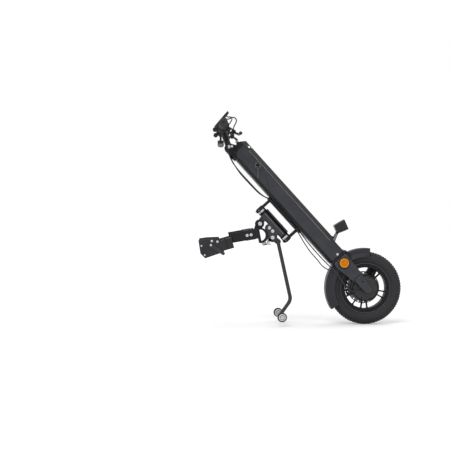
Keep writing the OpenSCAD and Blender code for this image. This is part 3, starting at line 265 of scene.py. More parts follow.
# Docking frame. Two cut plates swing on the head's upper bolt, and a round tube across them carries an arm at
# each end; each arm is a flat bar with a sleeve that slides along the tube to set the width.

# Charcoal powder coat on alloy: greyer than the black, with the same orange peel
charcoal_paint = finish_of("charcoal_powder_coat", "#28292e", "#33343a", patch=60, grain=1.6, depth=0.05,
                           rough=0.38, spread=0.05, Specular_IOR_Level=0.35)
worked("tilt_plates", 1.2, black_paint)
worked("cross_bar", 0.6, charcoal_paint)
for side in SIDES:
    worked(f"arm_{side}", 1.5, black_paint)
    worked(f"arm_bolts_{side}", 0.8, zinc_plate)

# Frame clamps. Each has a fixed half on its arm, a hinged half with a long hand plate, and a latch lever; they are
# cut from alloy and anodised black, with plated screws.

# Black anodising: a dyed skin on alloy that keeps a little of the metal's glint
black_anodised = finish_of("black_anodised_alloy", "#17171c", "#202025", patch=25, grain=0.6, depth=0.02,
                           rough=0.40, spread=0.06, metallic=0.3)
# The clamps' middle, and the lean of their bore
CLAMP = np.array([-318.8, 0.0, 347.42])
CLAMP_LEAN = math.radians(16)
plate_face, latch_face = 216, 224.6
# Place across and along the clamp, face, radius and height of each screw. The second is nearly flush, because the
# latch turns over it, and the last is the latch's own.
jaw_screws = ((-54, 29, plate_face, 5, 2.4), (-33, 21, plate_face, 5, 0.25), (-100, 22, plate_face, 4, 2.0),
              (-98, -18, plate_face, 4, 2.0), (-62.5, 14.3, latch_face, 4.6, 1.8))


def pan_head(at, face, radius, height, sign):
    """Screw head on a face at a distance along Y: a low dome with a round socket sunk in its middle."""
    r = np.array([0, 0.42, 0.42, 0.60, 0.88, 1.0, 1.0]) * radius
    y = face + np.array([0.35, 0.35, 1.0, 0.97, 0.70, 0.35, 0.0]) * height
    return turned(np.stack([r, sign * y], 1), 20, at), True, False


for side, sign in SIDES.items():
    worked(f"clamp_body_{side}", 1.2, black_anodised)
    worked(f"clamp_jaw_{side}", 1.5, black_anodised)
    worked(f"clamp_latch_{side}", 2.0, charcoal_paint)
    heads = [pan_head(placed([x, 0, z], CLAMP, CLAMP_LEAN)[[0, 2]], face, radius, height, sign)
             for x, z, face, radius, height in jaw_screws]
    piece_of(f"jaw_screws_{side}", heads, zinc_plate, f"jaw_{side}")

# Parking stand. One bent steel tube, painted, with a plated axle at its foot and a small wheel at each end: a nylon
# hub with a urethane tread.

# Moulded nylon: a warm pale grey with a dull sheen. Urethane tread: dark grey, scuffed.
pale_nylon = finish_of("pale_nylon", "#c6c4c0", "#d4d2ce", patch=8, grain=0.6, depth=0.02, rough=0.50, spread=0.08)
dark_urethane = finish_of("dark_urethane", "#161616", "#202020", patch=6, grain=0.7, depth=0.05, rough=0.60,
                          spread=0.08, Specular_IOR_Level=0.25)
# Bearing steel: grey, with a dull brushed glint
bearing_steel = finish_of("bearing_steel", "#77746f", "#88857f", patch=10, grain=0.5, depth=0.02, rough=0.40,
                          spread=0.08, metallic=0.6)
stand_foot = (-85.035, 40.0)
hub_profile = np.array([
    [9.8, 109.6], [10.4, 108.5], [14.4, 108.5], [15.2, 109.2], [15.2, 124.8], [14.4, 125.5], [10.4, 125.5],
    [9.8, 124.4]])
tread_profile = np.array([
    [15, 109], [17.8, 108.8], [19.3, 110.2], [20, 113.4], [20, 120.6], [19.3, 123.8], [17.8, 125.2], [15, 125]])
shield_profile = np.array([
    [5.1, 108], [6.4, 108], [7, 108.6], [7.2, 110.4], [10, 110.8], [10, 123.2], [7.2, 123.6], [7, 125.4], [6.4, 126],
    [5.1, 126]])
worked("stand_leg", 0.8, charcoal_paint)
worked("stand_axle", 0.5, zinc_plate)
for side, sign in SIDES.items():
    body = f"stand_wheel_{side}"
    piece_of(f"stand_hub_{side}", [(turned(hub_profile * [1, sign], 48, stand_foot), True, True)],
             pale_nylon, body, [body])
    piece_of(f"stand_tread_{side}", [(turned(tread_profile * [1, sign], 48, stand_foot), True, True)],
             dark_urethane, body)
    piece_of(f"stand_shield_{side}", [(turned(shield_profile * [1, sign], 48, stand_foot), True, True)],
             bearing_steel, body)

# Column. A folded and welded alloy trough with sloping rear edges and creased sides, a black cap and bracket on its
# sloping head, and a rail on its back for the two steering arms.

# Textured ABS: neutral black, matt, with a moulded grain of about 1 mm
lid_abs = finish_of("textured_abs", "#171718", "#1f1f20", patch=30, grain=1.0, depth=0.12, rough=0.55, spread=0.06,
                    Specular_IOR_Level=0.3)
# Black oxide: blued steel with an oily glint
black_oxide = finish_of("black_oxide_steel", "#1b1c1f", "#292a2d", patch=6, grain=0.7, depth=0.02, rough=0.35,
                        spread=0.08, metallic=0.8)
# In metres from the axle: where the column's head starts, and the plane behind which the bolts are blackened
head_start, rail_plane = 0.799, -0.0423
axle_point = Vector(AXLE / 1000)
head_cut = (axle_point + UPWARD * head_start, UPWARD)
# Cosines of the angles to the column's front, past which a face counts as its front or its back; the back faces get
# black paint as painted shade
front_share, shaded_back_share = 0.6, -0.3
# Faces turned to the column's back are painted black as painted shade, because they turn away from the light
worked("column_housing", 2.5, charcoal_paint, segments=3, cut=head_cut, zones=(
    (lid_abs, lambda face: face.normal.dot(FORWARD) > front_share),
    (black_paint, lambda face: face.normal.dot(FORWARD) < shaded_back_share),
    (black_paint, lambda face: (face.calc_center_median() - head_cut[0]).dot(UPWARD) > 0)))
worked("top_cap", 2.0, black_paint)
worked("steer_arms", 1.6, black_paint)
worked("rail", 1.2, black_paint)
worked("steering_bolt", 1.0, black_oxide)
worked("column_bolts", 0.9, zinc_plate, zones=(
    (black_oxide, lambda face: (face.calc_center_median() - axle_point).dot(FORWARD) < rail_plane),))
upper_crease = [[-27, 55, 806], [-14, 55, 764], [2, 55, 712]]
lower_crease = [[14, 55, 668], [-3, 55, 630], [-20, 55, 592], [-28.2, 54.9, 584], [-40, 43.2, 574]]
crease_r = 1.2
creases = [(swept(placed(np.array(line) * [1, sign, 1], AXLE, RAKE), crease_r, 10), False, True)
           for sign in SIDES.values() for line in (upper_crease, lower_crease)]
piece_of("side_creases", creases, charcoal_paint, "column")
arm_x, arm_face = -112, 18.6
heads = [pan_head(placed([arm_x, 0, z], AXLE, RAKE)[[0, 2]], arm_face, radius=3.6, height=2.4, sign=sign)
         for z in (379.6, 550.8) for sign in SIDES.values()]
piece_of("arm_screws", heads, zinc_plate, "column")
# Inside, the controller's plated case
frame["nodes"]["controller"].data.materials[0] = zinc_plate

# Battery. A long lid with sloping edges and the box behind it, moulded in black plastic with a spark-eroded grain;
# a thin bead runs along each of the lid's long edges, and its pale grey is a painted highlight where those edges
# catch the light.

# Painted highlight: a pale grey bead, smooth and matt, where the lid's edges catch the light
lid_edge_highlight_paint = finish_of("painted_highlight_bead", "#727376", "#818285", patch=20, grain=1.0, depth=0.02, rough=0.5,
                      spread=0.05)
worked("battery_case", 2.5, lid_abs, segments=3)
bead_x, bead_y, bead_r = 22.4, 55.1, 1.1
beads = [placed([[bead_x, sign * bead_y, z] for z in (254.5, 400, 600, 768.5)], AXLE, RAKE)
         for sign in SIDES.values()]
piece_of("lid_edge_highlights", [(swept(line, bead_r), False, True) for line in beads], lid_edge_highlight_paint, "battery")
# Inside, the cells in their plastic sleeve
frame["nodes"]["battery_cells"].data.materials[0] = lid_abs

# Battery lock. A blackened barrel with a steel lip sits in the right side. A key is in it, with a split ring that
# carries the spare key.

# Stainless steel: grey, brushed dull
dull_steel = finish_of("stainless_steel", "#6a6c6e", "#7d7f81", patch=10, grain=0.5, depth=0.02, rough=0.36,
                       spread=0.08, metallic=1.0)
worked("lock_barrel", 0.8, black_oxide)
lip_profile = np.array([[9.9, -57.6], [11.5, -57.6], [11.5, -58.1], [11.0, -58.5], [10.3, -58.5], [9.9, -58.1]])
lock_at = placed([12, 0, 699.3], AXLE, RAKE)[[0, 2]]
piece_of("lock_lip", [(turned(lip_profile, 48, lock_at), True, True)], dull_steel, "column")
worked("key", 0.5, black_paint)
worked("key_ring", 0.3, dull_steel)

# Fork. A black crown with two cheeks, and two cast legs in dark grey paint with a slight metal flake. Covers sit over
# the axle's ends, each outlined by a black bead of painted shade in its groove, and the brake's caliper is bolted to
# the left leg.

# Metallic paint on a casting: grey with fine flake, satin
fork_paint = finish_of("metallic_grey_paint", "#2a2b31", "#36373d", patch=25, grain=0.7, depth=0.03, rough=0.34,
                       spread=0.06, metallic=0.35)
worked("crown", 1.5, black_paint)
for side in SIDES:
    worked(f"fork_{side}", 5.0, fork_paint, segments=4)
worked("axle", 0.6, zinc_plate)
worked("axle_covers", 3.0, fork_paint, segments=4)
worked("caliper", 1.2, black_paint)
# Painted shade in the groove round a cover: half a circle below the axle, and straight lines with blunt corners above
# it
a = np.linspace(math.pi, 2 * math.pi, 17)
round_r, round_z, shade_outline_y, shade_outline_r = 17, -6, 58.4, 1.2
shade_outline = np.vstack([
    np.stack([round_r * np.cos(a), round_r * np.sin(a) + round_z], 1),
    [[20.6, 14], [25.4, 53], [24.6, 57], [21, 61.2], [17, 61.8]],
    [[-11, 61.8], [-15, 59.4], [-16.8, 56], [-round_r, round_z]]])
shade_lines = [placed(np.insert(shade_outline, 1, sign * shade_outline_y, axis=1), AXLE, RAKE) for sign in SIDES.values()]
piece_of("cover_shade_lines", [(swept(line, shade_outline_r, 6), False, True) for line in shade_lines], dark_urethane, "column")

# Reflectors. Round amber lenses moulded in acrylic, with rows of prisms. Each is pressed into a black bezel on the
# outside of a fork leg.

# Amber acrylic: clear orange that glows from its prisms; the plain ring round them looks paler
pale_amber = finish_of("amber_acrylic_ring", "#e39a2c", "#eaa63e", patch=6, grain=2.5, depth=0.02, rough=0.20,
                       spread=0.05, Specular_IOR_Level=0.2)
amber = finish_of("amber_acrylic", "#c46a00", "#dd8604", patch=6, grain=2.5, depth=0.05, rough=0.25, spread=0.05,
                  Specular_IOR_Level=0.1)
reflector_at = (2.0, 144.0)
prism_r, prism_step, prism_low, prism_h = 15.2, 3.2, 64.4, 1.2
# Radius and height of the plain border, going outwards and then down into the bezel
border = np.array([[15.6, 65.9], [19.4, 64.6], [19.9, 63.8], [19.9, 59.0]])


def lens_skin(sign):
    """Disc with a low sloping rim; inside it the face rises and falls in rows of little prisms: the height is the
    sum of the distances from the nearest row's middle, in steps, both ways."""
    r = np.concatenate([[0], np.linspace(0.8, prism_r, 19), border[:, 0]])[None, :]
    a = np.linspace(0, 2 * math.pi, 120, endpoint=False)[:, None]
    x, z = r * np.cos(a), r * np.sin(a)
    face = prism_low + prism_h * (np.abs(x / prism_step % 1 - 0.5) + np.abs(z / prism_step % 1 - 0.5))
    face[:, -len(border):] = border[:, 1]
    return np.stack([reflector_at[0] + x, sign * face, reflector_at[1] + z], -1)


rim_profile = np.array([[15.9, 64.2], [16.4, 65.4], [17.6, 65.9], [18.8, 65.4], [19.3, 64.2]])
bezel_profile = np.array([
    [19.8, 58], [24, 58], [24, 62.2], [23.4, 63.2], [21.4, 64.8], [20.4, 65], [19.8, 64.4]])
lenses = [(placed(lens_skin(sign), AXLE, RAKE), True, False) for sign in SIDES.values()]
piece_of("reflector_lenses", lenses, amber, "column", ["reflectors"], crease=25)
rims = [(placed(turned(rim_profile * [1, sign], 64, reflector_at), AXLE, RAKE), True, False)
        for sign in SIDES.values()]
piece_of("reflector_rims", rims, pale_amber, "column")
bezels = [(placed(turned(bezel_profile * [1, sign], 64, reflector_at), AXLE, RAKE), True, True)
          for sign in SIDES.values()]
piece_of("reflector_bezels", bezels, black_paint, "column")

# Mudguard. A moulded channel round the wheel, held under the crown; each side flares out a little along its lower
# half, and the flare is cut off at a slant in front.

# Polypropylene: dark grey, smooth moulded skin
guard_pp = finish_of("moulded_polypropylene", "#1a1a1e", "#222226", patch=40, grain=1.2, depth=0.04, rough=0.45,
                     spread=0.06, Specular_IOR_Level=0.35)
worked("mudguard", 1.0, guard_pp)
skirt_profile = np.array([[131, 33], [131, 37.4], [131.8, 38], [148.5, 34.1], [150, 33.5], [150, 33]])
# In degrees round the axle: the flare's front at its outer edge, the slant for each millimetre inwards, and its back
skirt_front, skirt_slant, skirt_back = 83.2, 0.55, 211.8
skirts = []
for sign in SIDES.values():
    r, y = (skirt_profile * [1, sign]).T
    arc = np.radians(np.linspace(skirt_front + skirt_slant * (150 - r), skirt_back, 90))
    skirt = np.stack([AXLE[0] + r * np.cos(arc), y + 0 * arc, AXLE[2] + r * np.sin(arc)], -1)
    ends = np.broadcast_to(skirt.mean(axis=1, keepdims=True), skirt.shape)
    skirts.append((np.concatenate([ends[:1], skirt, ends[-1:]]), False, True))
piece_of("mudguard_skirts", skirts, guard_pp, "column")

# Wheel. A cast alloy wheel with twin spokes, the drum of the hub motor in its middle, a tyre with small lugs, and a
# vented brake disc on the left. The casting is painted black, with a fine turned line on each flange.

# Rubber compound: near black, bloomed grey, with a skin of moulding lines
tyre_rubber = finish_of("tyre_rubber", "#1e1e21", "#28282b", patch=20, grain=1.2, depth=0.10, rough=0.70,
                        spread=0.08, Specular_IOR_Level=0.35)
# Paint on a casting: dull black in the wheel, satin grey on the covers, with the casting's faint pitting under it
cast_paint = finish_of("black_painted_casting", "#0a0a0b", "#111113", patch=15, grain=1.0, depth=0.08, rough=0.45,
                       spread=0.08, Specular_IOR_Level=0.2)
cover_paint = finish_of("grey_painted_casting", "#29292c", "#333336", patch=15, grain=1.0, depth=0.06, rough=0.38,
                        spread=0.08, metallic=0.3)
# Turned alloy: a grey line with a fine lathe finish
bare_alloy = finish_of("turned_alloy", "#404145", "#4d4e52", patch=12, grain=0.5, depth=0.02, rough=0.34,
                       spread=0.06, metallic=0.7)
hub_at = AXLE[[0, 2]]
tyre_mid, tyre_round = 127.0, 29.0
# Lugs: how many go round, grid steps for each, height, slant, and the gaps' shares in the middle and side rows
lugs, per_lug, lug_h, lug_slant, middle_gap, side_gap = 84, 6, 2.4, 0.016, 0.26, 0.34
# Ways round the section from the crown's middle: edges of the middle row, the groove, the tread and the sidewall
row_edge, groove_edge, tread_edge, wall_edge = 6.5, 9.5, 35, 60
ring_ways, ring_h, ring_w = (44, 55), 0.5, 1.2
# Where the tyre sits in the rim: its least radius, and the flange's radius and half width
seat_r, flange_r, flange_half = 90.8, 107.7, 19.9


def tyre_skin():
    """Ring swept by a round section. Across the crown the section is lowered by a lug's height along two grooves and
    between the lugs: two staggered rows of blocks stand beside a middle row. The sidewall carries two fine raised
    rings, each a bell curve, and the section narrows to the rim's width where it enters the rim."""
    a = np.linspace(0, 2 * math.pi, lugs * per_lug, endpoint=False)[:, None]
    t = np.linspace(-math.pi, math.pi, 97)[None, :-1]
    way = np.abs(t * tyre_round)
    row = np.where(way < row_edge, 0.0, np.where(t > 0, 0.25, 0.75))
    phase = (a * lugs / (2 * math.pi) + row + way * lug_slant) % 1
    in_gap = phase < np.where(row == 0, middle_gap, side_gap)
    in_groove = (way > row_edge) & (way < groove_edge)
    lowered = (in_gap | in_groove) & (way < tread_edge)
    rings = sum(ring_h * np.exp(-((way - at) / ring_w) ** 2) for at in ring_ways)
    section = tyre_round - lug_h * lowered + rings * (way < wall_edge)
    r = np.maximum(tyre_mid + section * np.cos(t), seat_r)
    y = section * np.sin(t)
    y = np.where(r < flange_r, np.clip(y, -flange_half, flange_half), y)
    return np.stack([hub_at[0] + r * np.cos(a), y, hub_at[1] + r * np.sin(a)], -1)


# Outer faces of the motor covers: steps and grooves turned round the axle; the left one has the disc's seat
cover_profile = np.array([
    [51, 22], [51, 25.4], [50.4, 26], [43.4, 26], [42.6, 26.4], [42, 27.2], [42, 30.2], [41.2, 31], [36, 31],
    [35.6, 29.8], [33, 29.8], [32.6, 31], [26, 31], [25.6, 30], [20.4, 30], [20, 31], [12, 31], [11, 30.2],
    [6.2, 30.2], [6.2, 22]])
seat_profile = np.array([[24, 31], [24, 34], [6.2, 34], [6.2, 31]])
covers = [(turned(cover_profile * [1, sign], 96, hub_at), True, True) for sign in SIDES.values()]
covers.append((turned(seat_profile, 64, hub_at), True, True))
stripe_profile = np.array([[104.6, 23.4], [107.3, 23.4], [107.4, 23.8], [106.8, 24.1], [105.2, 24.1], [104.6, 23.8]])
stripes = [(turned(stripe_profile * [1, sign], 160, hub_at), True, True) for sign in SIDES.values()]
cover_face = 26
on_ring = np.radians(np.arange(8) * 45 + 22.5)[:, None]
screw_places = hub_at + 46.8 * np.hstack([np.cos(on_ring), np.sin(on_ring)])
heads = [pan_head(at, cover_face, radius=2.4, height=1.8, sign=sign)
         for sign in SIDES.values() for at in screw_places]
# Valve: distances from the axle along its stem, with the stem's radius at each
valve_angle, valve_y = 4.1, 9
valve_way = np.array([88, 84, 83.5, 72, 71.5, 66])
valve_r = [4.6, 4.6, 3.2, 3.2, 3.8, 3.4]
valve = np.stack([hub_at[0] + valve_way * math.cos(valve_angle), valve_y + 0 * valve_way,
                  hub_at[1] + valve_way * math.sin(valve_angle)], 1)
piece_of("tyre_tread", [(tyre_skin(), True, True)], tyre_rubber, "wheel", ["tyre"], crease=40)
worked("wheel_casting", 1.2, cast_paint)
piece_of("rim_stripes", stripes, bare_alloy, "wheel")
piece_of("motor_cover_faces", covers, cover_paint, "wheel", ["motor_covers"], crease=30)
piece_of("motor_cover_screws", heads, black_oxide, "wheel")
piece_of("valve", [(swept(valve, valve_r, 12), False, True)], tyre_rubber, "wheel")
worked("brake_disc", 0.3, dull_steel)
# Inside, the plated magnets and the windings
frame["nodes"]["magnet_ring"].data.materials[0] = zinc_plate
# Enamelled copper: reddish brown wire with a varnish gloss
copper = finish_of("enamelled_copper", "#8a4a22", "#a85f2e", patch=3, grain=1.0, depth=0.1, rough=0.35, spread=0.05,
                   metallic=0.8)
frame["nodes"]["motor_stator"].data.materials[0] = copper

# Headlamp. A moulded shell with cooling ribs tilts on a steel bracket; behind the clear lens in its mouth is a
# bright bowl with the lamp's yellow chip at its bottom.

# Clear polycarbonate: colourless, glossy
clear = finish_of("clear_polycarbonate", "#e9edf0", "#f2f5f6", patch=30, grain=5.0, depth=0.01, rough=0.05,
                  spread=0.01, Transmission_Weight=0.9)
# Vacuum plating: a mirror skin of aluminium on plastic
mirror = finish_of("vacuum_plated_plastic", "#d9dbdc", "#e6e8e9", patch=20, grain=2.0, depth=0.005, rough=0.08,
                   spread=0.02, metallic=1.0)
# Phosphor: pale yellow, waxy
phosphor = finish_of("led_phosphor", "#d9c45a", "#e3d06c", patch=2, grain=0.4, depth=0.02, rough=0.4, spread=0.05)
# The lamp's hinge, and how far its beam is lifted
LAMP = np.array([154.2, 0.0, 381.89])
LAMP_LIFT = math.radians(24)


def rounded(half, low, high, corner, grow):
    """Outline of a box with round corners, grown by a distance: pairs (y, z) going round it."""
    out = []
    for k, (y, z) in enumerate(((half, high), (-half, high), (-half, low), (half, low))):
        a = np.radians(np.linspace(90 * k, 90 * k + 90, 6))
        cy, cz = y - math.copysign(corner, y), (z - corner if z == high else z + corner)
        out.append(np.stack([cy + (corner + grow) * np.cos(a), cz + (corner + grow) * np.sin(a)], 1))
    return np.vstack(out)


# Shell: its back, and its half width, lower and upper faces there, which spread by these shares towards its mouth
shell_x, shell_half, shell_low, shell_high, low_share, high_share = 8, 26, 4, 41, 0.04, 0.12
shell_corner, lamp_rib_step = 2, 5.0
ribs = []
for x in np.arange(13, 44, lamp_rib_step):
    low, high = shell_low - (x - shell_x) * low_share, shell_high + (x - shell_x) * high_share
    rows = [(x, -0.8), (x + 0.4, 0.9), (x + 1.8, 0.9), (x + 2.2, -0.8)]
    rib = np.stack([np.insert(rounded(shell_half, low, high, shell_corner, grow), 0, at, axis=1)
                    for at, grow in rows], 1)
    ribs.append((placed(rib, LAMP, LAMP_LIFT), True, True))
# Bowl: a parabola turned about the beam's line. Chip: half an ellipse turned about it.
beam_z, bowl_x, bowl_depth, bowl_low_r, bowl_rise = 23.5, 31, 21, 2.5, 15.5
chip_x, chip_h, chip_r = 31.4, 2.4, 2.6
a = np.linspace(0, 2 * math.pi, 48, endpoint=False)[:, None]
share = np.linspace(0, 1, 12)[None, :]
bowl_r, dome_r = bowl_low_r + bowl_rise * share, chip_r * np.sin(share * math.pi / 2)
bowl = np.stack([bowl_x + bowl_depth * share**2 + 0 * a, bowl_r * np.cos(a), beam_z + bowl_r * np.sin(a)], -1)
chip = np.stack([chip_x + chip_h * np.cos(share * math.pi / 2) + 0 * a, dome_r * np.cos(a),
                 beam_z + dome_r * np.sin(a)], -1)
worked("lamp_bracket", 0.5, dull_steel)
worked("lamp_shell", 3.0, guard_pp, segments=3)
piece_of("lamp_ribs", ribs, guard_pp, "headlamp", crease=25)
piece_of("lamp_bowl", [(placed(bowl, LAMP, LAMP_LIFT), True, False)], mirror, "headlamp")
piece_of("lamp_chip", [(placed(chip, LAMP, LAMP_LIFT), True, False)], phosphor, "headlamp")
worked("lamp_lens", 0.5, clear)

# Handlebar. A stem on the bracket, with a blackened collar, carries a straight tube with ribbed rubber grips, switch
# pods with brake levers and thumb levers, a small bell, and a display on two rings.

# Grip rubber: soft black compound with a matt bloom
grip_rubber = finish_of("grip_rubber", "#212125", "#2b2b2f", patch=10, grain=0.8, depth=0.10, rough=0.65,
                        spread=0.06, Specular_IOR_Level=0.4)
# Dyed lever alloy: dark, with a metal glint along the blade
lever_metal = finish_of("anodised_lever", "#1d1d20", "#2a2a2e", patch=10, grain=0.6, depth=0.02, rough=0.34,
                        spread=0.06, metallic=0.6)
# Screen glass: near black and glossy, over a switched-off panel
screen_glass = finish_of("screen_glass", "#0a0b0e", "#0d0e12", patch=40, grain=8.0, depth=0.002, rough=0.08,
                         spread=0.02)
# The bar's middle, and how far the display's face is tilted back
BAR = np.array([-331.604, 0.0, 838.39])
DISPLAY_TILT = math.radians(49.2)
bar_at = BAR[[0, 2]]
# Grip: a flange, ribs that rise and fall as a cosine, and a rolled end
grip_r, grip_rib_h, grip_rib_step = 16.15, 0.35, 4
along = np.linspace(124, 246, 184)
grip_profile = np.vstack([
    [[11.2, 118.3], [18.6, 118.3], [19.5, 119.2], [19.5, 121.2], [18.6, 122.2], [16.6, 122.8]],
    np.stack([grip_r + grip_rib_h * np.cos(2 * math.pi * along / grip_rib_step), along], 1),
    [[17.2, 247.4], [18, 248.4], [18, 251], [16.8, 253], [12, 253.8], [7, 254]],
    [[6, 253.4], [5.6, 250.4], [0, 250.3]]])
grips = [(turned(grip_profile * [1, sign], 40, bar_at), True, False) for sign in SIDES.values()]
# Collar: rings at these hundredths of the stem's length, the first and last a hair further out as its end faces
collar_line = np.linspace([-27, 0, 837.3], [7, 0, 914.8], 101)[[46, 46, 48, 54, 56, 56]]
collar_line[[0, -1]] += [[-0.1, 0, -0.2], [0.1, 0, 0.2]]
collar_r = [13, 14.2, 14.8, 14.8, 14.2, 13]
bell_profile = np.array([
    [0, -86], [6, -85.6], [10.4, -83.4], [12.9, -79.4], [13.6, -74.6], [13.6, -71.4], [13.0, -70.8], [12.4, -71.4]])
bell_from_bar = [-9, -60, 0]
bell = turned(bell_profile, 48)[..., [0, 2, 1]] + BAR + bell_from_bar
# Glass: a rounded pane with a bevelled edge, closed at its middle
glass_half, glass_low, glass_high, glass_corner, glass_top = 27, 8, 62, 3, 31.5
screen = []
for z, grow in ((30.8, 0), (31.3, 0), (glass_top, -0.5)):
    outline = rounded(glass_half, glass_low, glass_high, glass_corner, grow)
    screen.append(np.stack([outline[:, 1], outline[:, 0], np.full(len(outline), z)], 1))
screen.append(np.broadcast_to([(glass_low + glass_high) / 2, 0, glass_top], screen[0].shape))
pod_face = 118
on_ring = np.radians([[40], [160], [280]])
pod_places = bar_at + 19 * np.hstack([np.cos(on_ring), np.sin(on_ring)])
worked("stem", 1.2, black_paint)
piece_of("stem_collar", [(swept(placed(collar_line, AXLE, RAKE), collar_r, 40), False, True)], black_oxide, "column")
worked("handlebar", 0.4, black_paint)
piece_of("grip_sleeves", grips, grip_rubber, "column", ["grips"], crease=50)
worked("lever_pods", 1.5, lid_abs)
piece_of("bell_dome", [(bell, True, False)], dull_steel, "column")
worked("display", 1.0, lid_abs)
piece_of("display_glass", [(placed(np.stack(screen, 1), BAR, DISPLAY_TILT), True, False)], screen_glass, "column")
worked("mode_button", 0.8, pale_nylon)
for side, sign in SIDES.items():
    worked(f"thumb_lever_{side}", 1.4, lid_abs)
    worked(f"brake_lever_{side}", 2.0, lever_metal, segments=3)
    heads = [pan_head(at, pod_face, radius=2.2, height=0.25, sign=sign) for at in pod_places]
    piece_of(f"pod_screws_{side}", heads, black_oxide, "column")

# Cables. The brake hose, the control lead and the motor lead run down the back of the column in their jackets, and
# a short switch lead goes from the display to the right pod.


def smooth_route(points, steps):
    """Even cubic through the points: each span blends its ends and their tangents, half the chord between the
    neighbours, as a Catmull-Rom curve."""
    p = np.asarray(points, float)
    q = np.vstack([2 * p[0] - p[1], p, 2 * p[-1] - p[-2]])
    t = np.linspace(0, 1, steps, endpoint=False)[None, :, None]
    a, b, c, d = (q[i:len(q) - 3 + i, None] for i in range(4))
    spans = 0.5 * (2 * b + (c - a) * t + (2 * a - 5 * b + 4 * c - d) * t**2 + (3 * b - a - 3 * c + d) * t**3)
    return np.vstack([spans.reshape(-1, 3), p[-1:]])


# Points of each route across the column, to the left and along the column, from the axle
cable_routes = {
    "brake_cable": [
        [16, 97.4, 895.5], [15, 84, 892.5], [3, 64, 877.3], [-20, 46, 850.3], [-43.25, 36, 818], [-55.25, 31, 785],
        [-60, 29, 753.3], [-61.5, 28, 713], [-61, 28, 660], [-60, 28, 612], [-55, 28, 580], [-46, 28, 548],
        [-45, 28, 480], [-45, 28, 400], [-51, 28, 364], [-62, 29, 308], [-67, 34, 266], [-67, 46, 223],
        [-68, 60, 184], [-58, 66, 152], [-30, 67, 115], [6, 67, 92], [44, 66, 78], [74, 60, 64], [86, 48, 50],
        [84, 36, 42]],
    "control_cable": [
        [43, -20, 941], [44, -20, 933.5], [47, -20, 928.7], [52, -20, 925.3], [57.5, -20, 923.5], [63, -20, 921.8],
        [70.8, -20, 917.8], [74.8, -20.3, 910], [73.6, -20.7, 901.4], [67.8, -21, 894.9], [60.5, -21.5, 891.9],
        [52, -22, 888.7], [44, -23.5, 884.7], [36, -25, 880.3], [2, -29, 864.3], [-31, -31, 844], [-49, -31, 810],
        [-61, -30, 768.3], [-68, -28, 718.3], [-68, -28, 660], [-66, -28, 612], [-59, -28, 580], [-46, -28, 548],
        [-45, -28, 480], [-45.5, -28, 446], [-47.25, -28, 422], [-48.25, -28, 406], [-48.25, -28, 388]],
    "switch_cable": [
        [53, -26, 941.9], [54, -26.5, 933.8], [60, -32, 928.3], [63, -44, 920.3], [56, -60, 912.3], [40, -76, 906.3],
        [27, -86, 903.3], [24, -92, 903.3], [24, -97.4, 903.3]],
    "motor_cable": [
        [-48.25, -28, 372], [-48.25, -28, 354], [-49.75, -28, 334], [-52, -28, 308], [-53.5, -30, 266],
        [-54, -38, 223], [-53, -50, 184], [-50, -53, 152], [-50, -53, 128], [-56, -53, 92], [-58, -53, 58],
        [-48, -53, 26], [-30, -53, 10], [-18.5, -53, 6]],
}
cable_d = 5
# Jacket: soft PVC, black with a dull gloss and faint drawing lines
cable_pvc = finish_of("cable_pvc", "#1b1b1d", "#252527", patch=15, grain=1.0, depth=0.04, rough=0.45, spread=0.06)
for name, route in cable_routes.items():
    line = placed(smooth_route(route, steps=4), AXLE, RAKE) / 1000
    curve = bpy.data.curves.new(name, "CURVE")
    curve.dimensions = "3D"
    spline = curve.splines.new("POLY")
    spline.points.add(len(line) - 1)
    spline.points.foreach_set("co", np.hstack([line, np.ones((len(line), 1))]).ravel())
    spline.use_smooth = True
    curve.bevel_depth = cable_d / 2000
    curve.bevel_resolution = 4
    curve.use_fill_caps = True
    curve.materials.append(cable_pvc)
    cable = bpy.data.objects.new(name, curve)
    bpy.context.scene.collection.objects.link(cable)
    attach(cable, "column")
    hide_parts("cables")

# Studio. A pale painted floor keeps the contact shadows, and all beyond it is white. One large soft lamp is above on
# the camera's side, and a weaker and wider one is above on the far side.
scene = bpy.context.scene
scene.view_settings.view_transform = "Standard"
far = 30
floor_mesh = bpy.data.meshes.new("floor")
floor_mesh.from_pydata([(-far, -far, 0), (far, -far, 0), (far, far, 0), (-far, far, 0)], [], [(0, 1, 2, 3)])
floor = bpy.data.objects.new("floor", floor_mesh)
scene.collection.objects.link(floor)


def seen_by(tree):
    """Output that is 1 where a camera, glossy or transmission ray arrives, and 0 for the light on the object."""
    ray = add_node(tree, "ShaderNodeLightPath").outputs
    seen = add_node(tree, "ShaderNodeMath", {0: ray["Is Camera Ray"], 1: ray["Is Glossy Ray"]}, operation="MAXIMUM")
    return add_node(tree, "ShaderNodeMath", {0: seen.outputs[0], 1: ray["Is Transmission Ray"]},
                    operation="MAXIMUM").outputs[0]


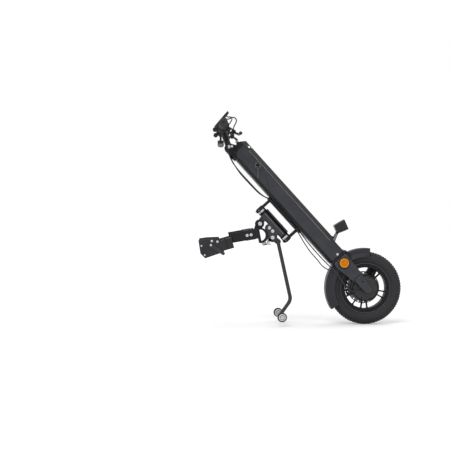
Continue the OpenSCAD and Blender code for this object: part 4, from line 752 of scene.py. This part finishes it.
# Floor paint: dull pale grey; a little light of its own brings it up to white where a camera sees it
floor_paint = bpy.data.materials.new("floor_paint")
floor_paint.use_nodes = True
floor_mesh.materials.append(floor_paint)
tree = floor_paint.node_tree
own_light = add_node(tree, "ShaderNodeMath", {0: seen_by(tree), 1: 0.2}, operation="MULTIPLY")
shader = tree.nodes["Principled BSDF"]
shader.inputs["Base Color"].default_value = (0.82, 0.82, 0.82, 1)
shader.inputs["Roughness"].default_value = 0.9
shader.inputs["Specular IOR Level"].default_value = 0.0
shader.inputs["Emission Color"].default_value = (1, 1, 1, 1)
tree.links.new(own_light.outputs[0], shader.inputs["Emission Strength"])

world = bpy.data.worlds.new("studio")
scene.world = world
world.use_nodes = True
tree = world.node_tree
level = add_node(tree, "ShaderNodeMapRange", {"Value": seen_by(tree), "To Min": 0.5, "To Max": 1.0})
backdrop = tree.nodes["Background"]
backdrop.inputs["Color"].default_value = (1, 1, 1, 1)
tree.links.new(level.outputs[0], backdrop.inputs["Strength"])


def lamp_from(name, towards, spread, strength):
    """Distant soft lamp: its light comes evenly from a wide patch of sky round one direction."""
    data = bpy.data.lights.new(name, "SUN")
    data.angle = math.radians(spread)
    data.energy = strength
    lamp = bpy.data.objects.new(name, data)
    lamp.rotation_mode = "QUATERNION"
    lamp.rotation_quaternion = Vector(towards).to_track_quat("Z", "Y")
    scene.collection.objects.link(lamp)


lamp_from("key_lamp", (-0.45, -0.8, 1.0), spread=40, strength=1.5)
lamp_from("top_lamp", (0.5, 0.3, 1.0), spread=60, strength=1.0)

# Camera. It stands about 4.3 m off on the object's right with a long lens, almost level with the column's middle, and
# looks at a point behind the column, as the photograph is framed.
camera_point, aim_point = Vector((-0.411, -4.3, 0.446)), Vector((-0.321, 0, 0.425))
camera_data = bpy.data.cameras.new("camera")
camera_data.lens = 80.4
camera_data.sensor_width = 36
camera = bpy.data.objects.new("camera", camera_data)
camera.location = camera_point
camera.rotation_mode = "QUATERNION"
camera.rotation_quaternion = (camera_point - aim_point).to_track_quat("Z", "Y")
scene.collection.objects.link(camera)
scene.camera = camera
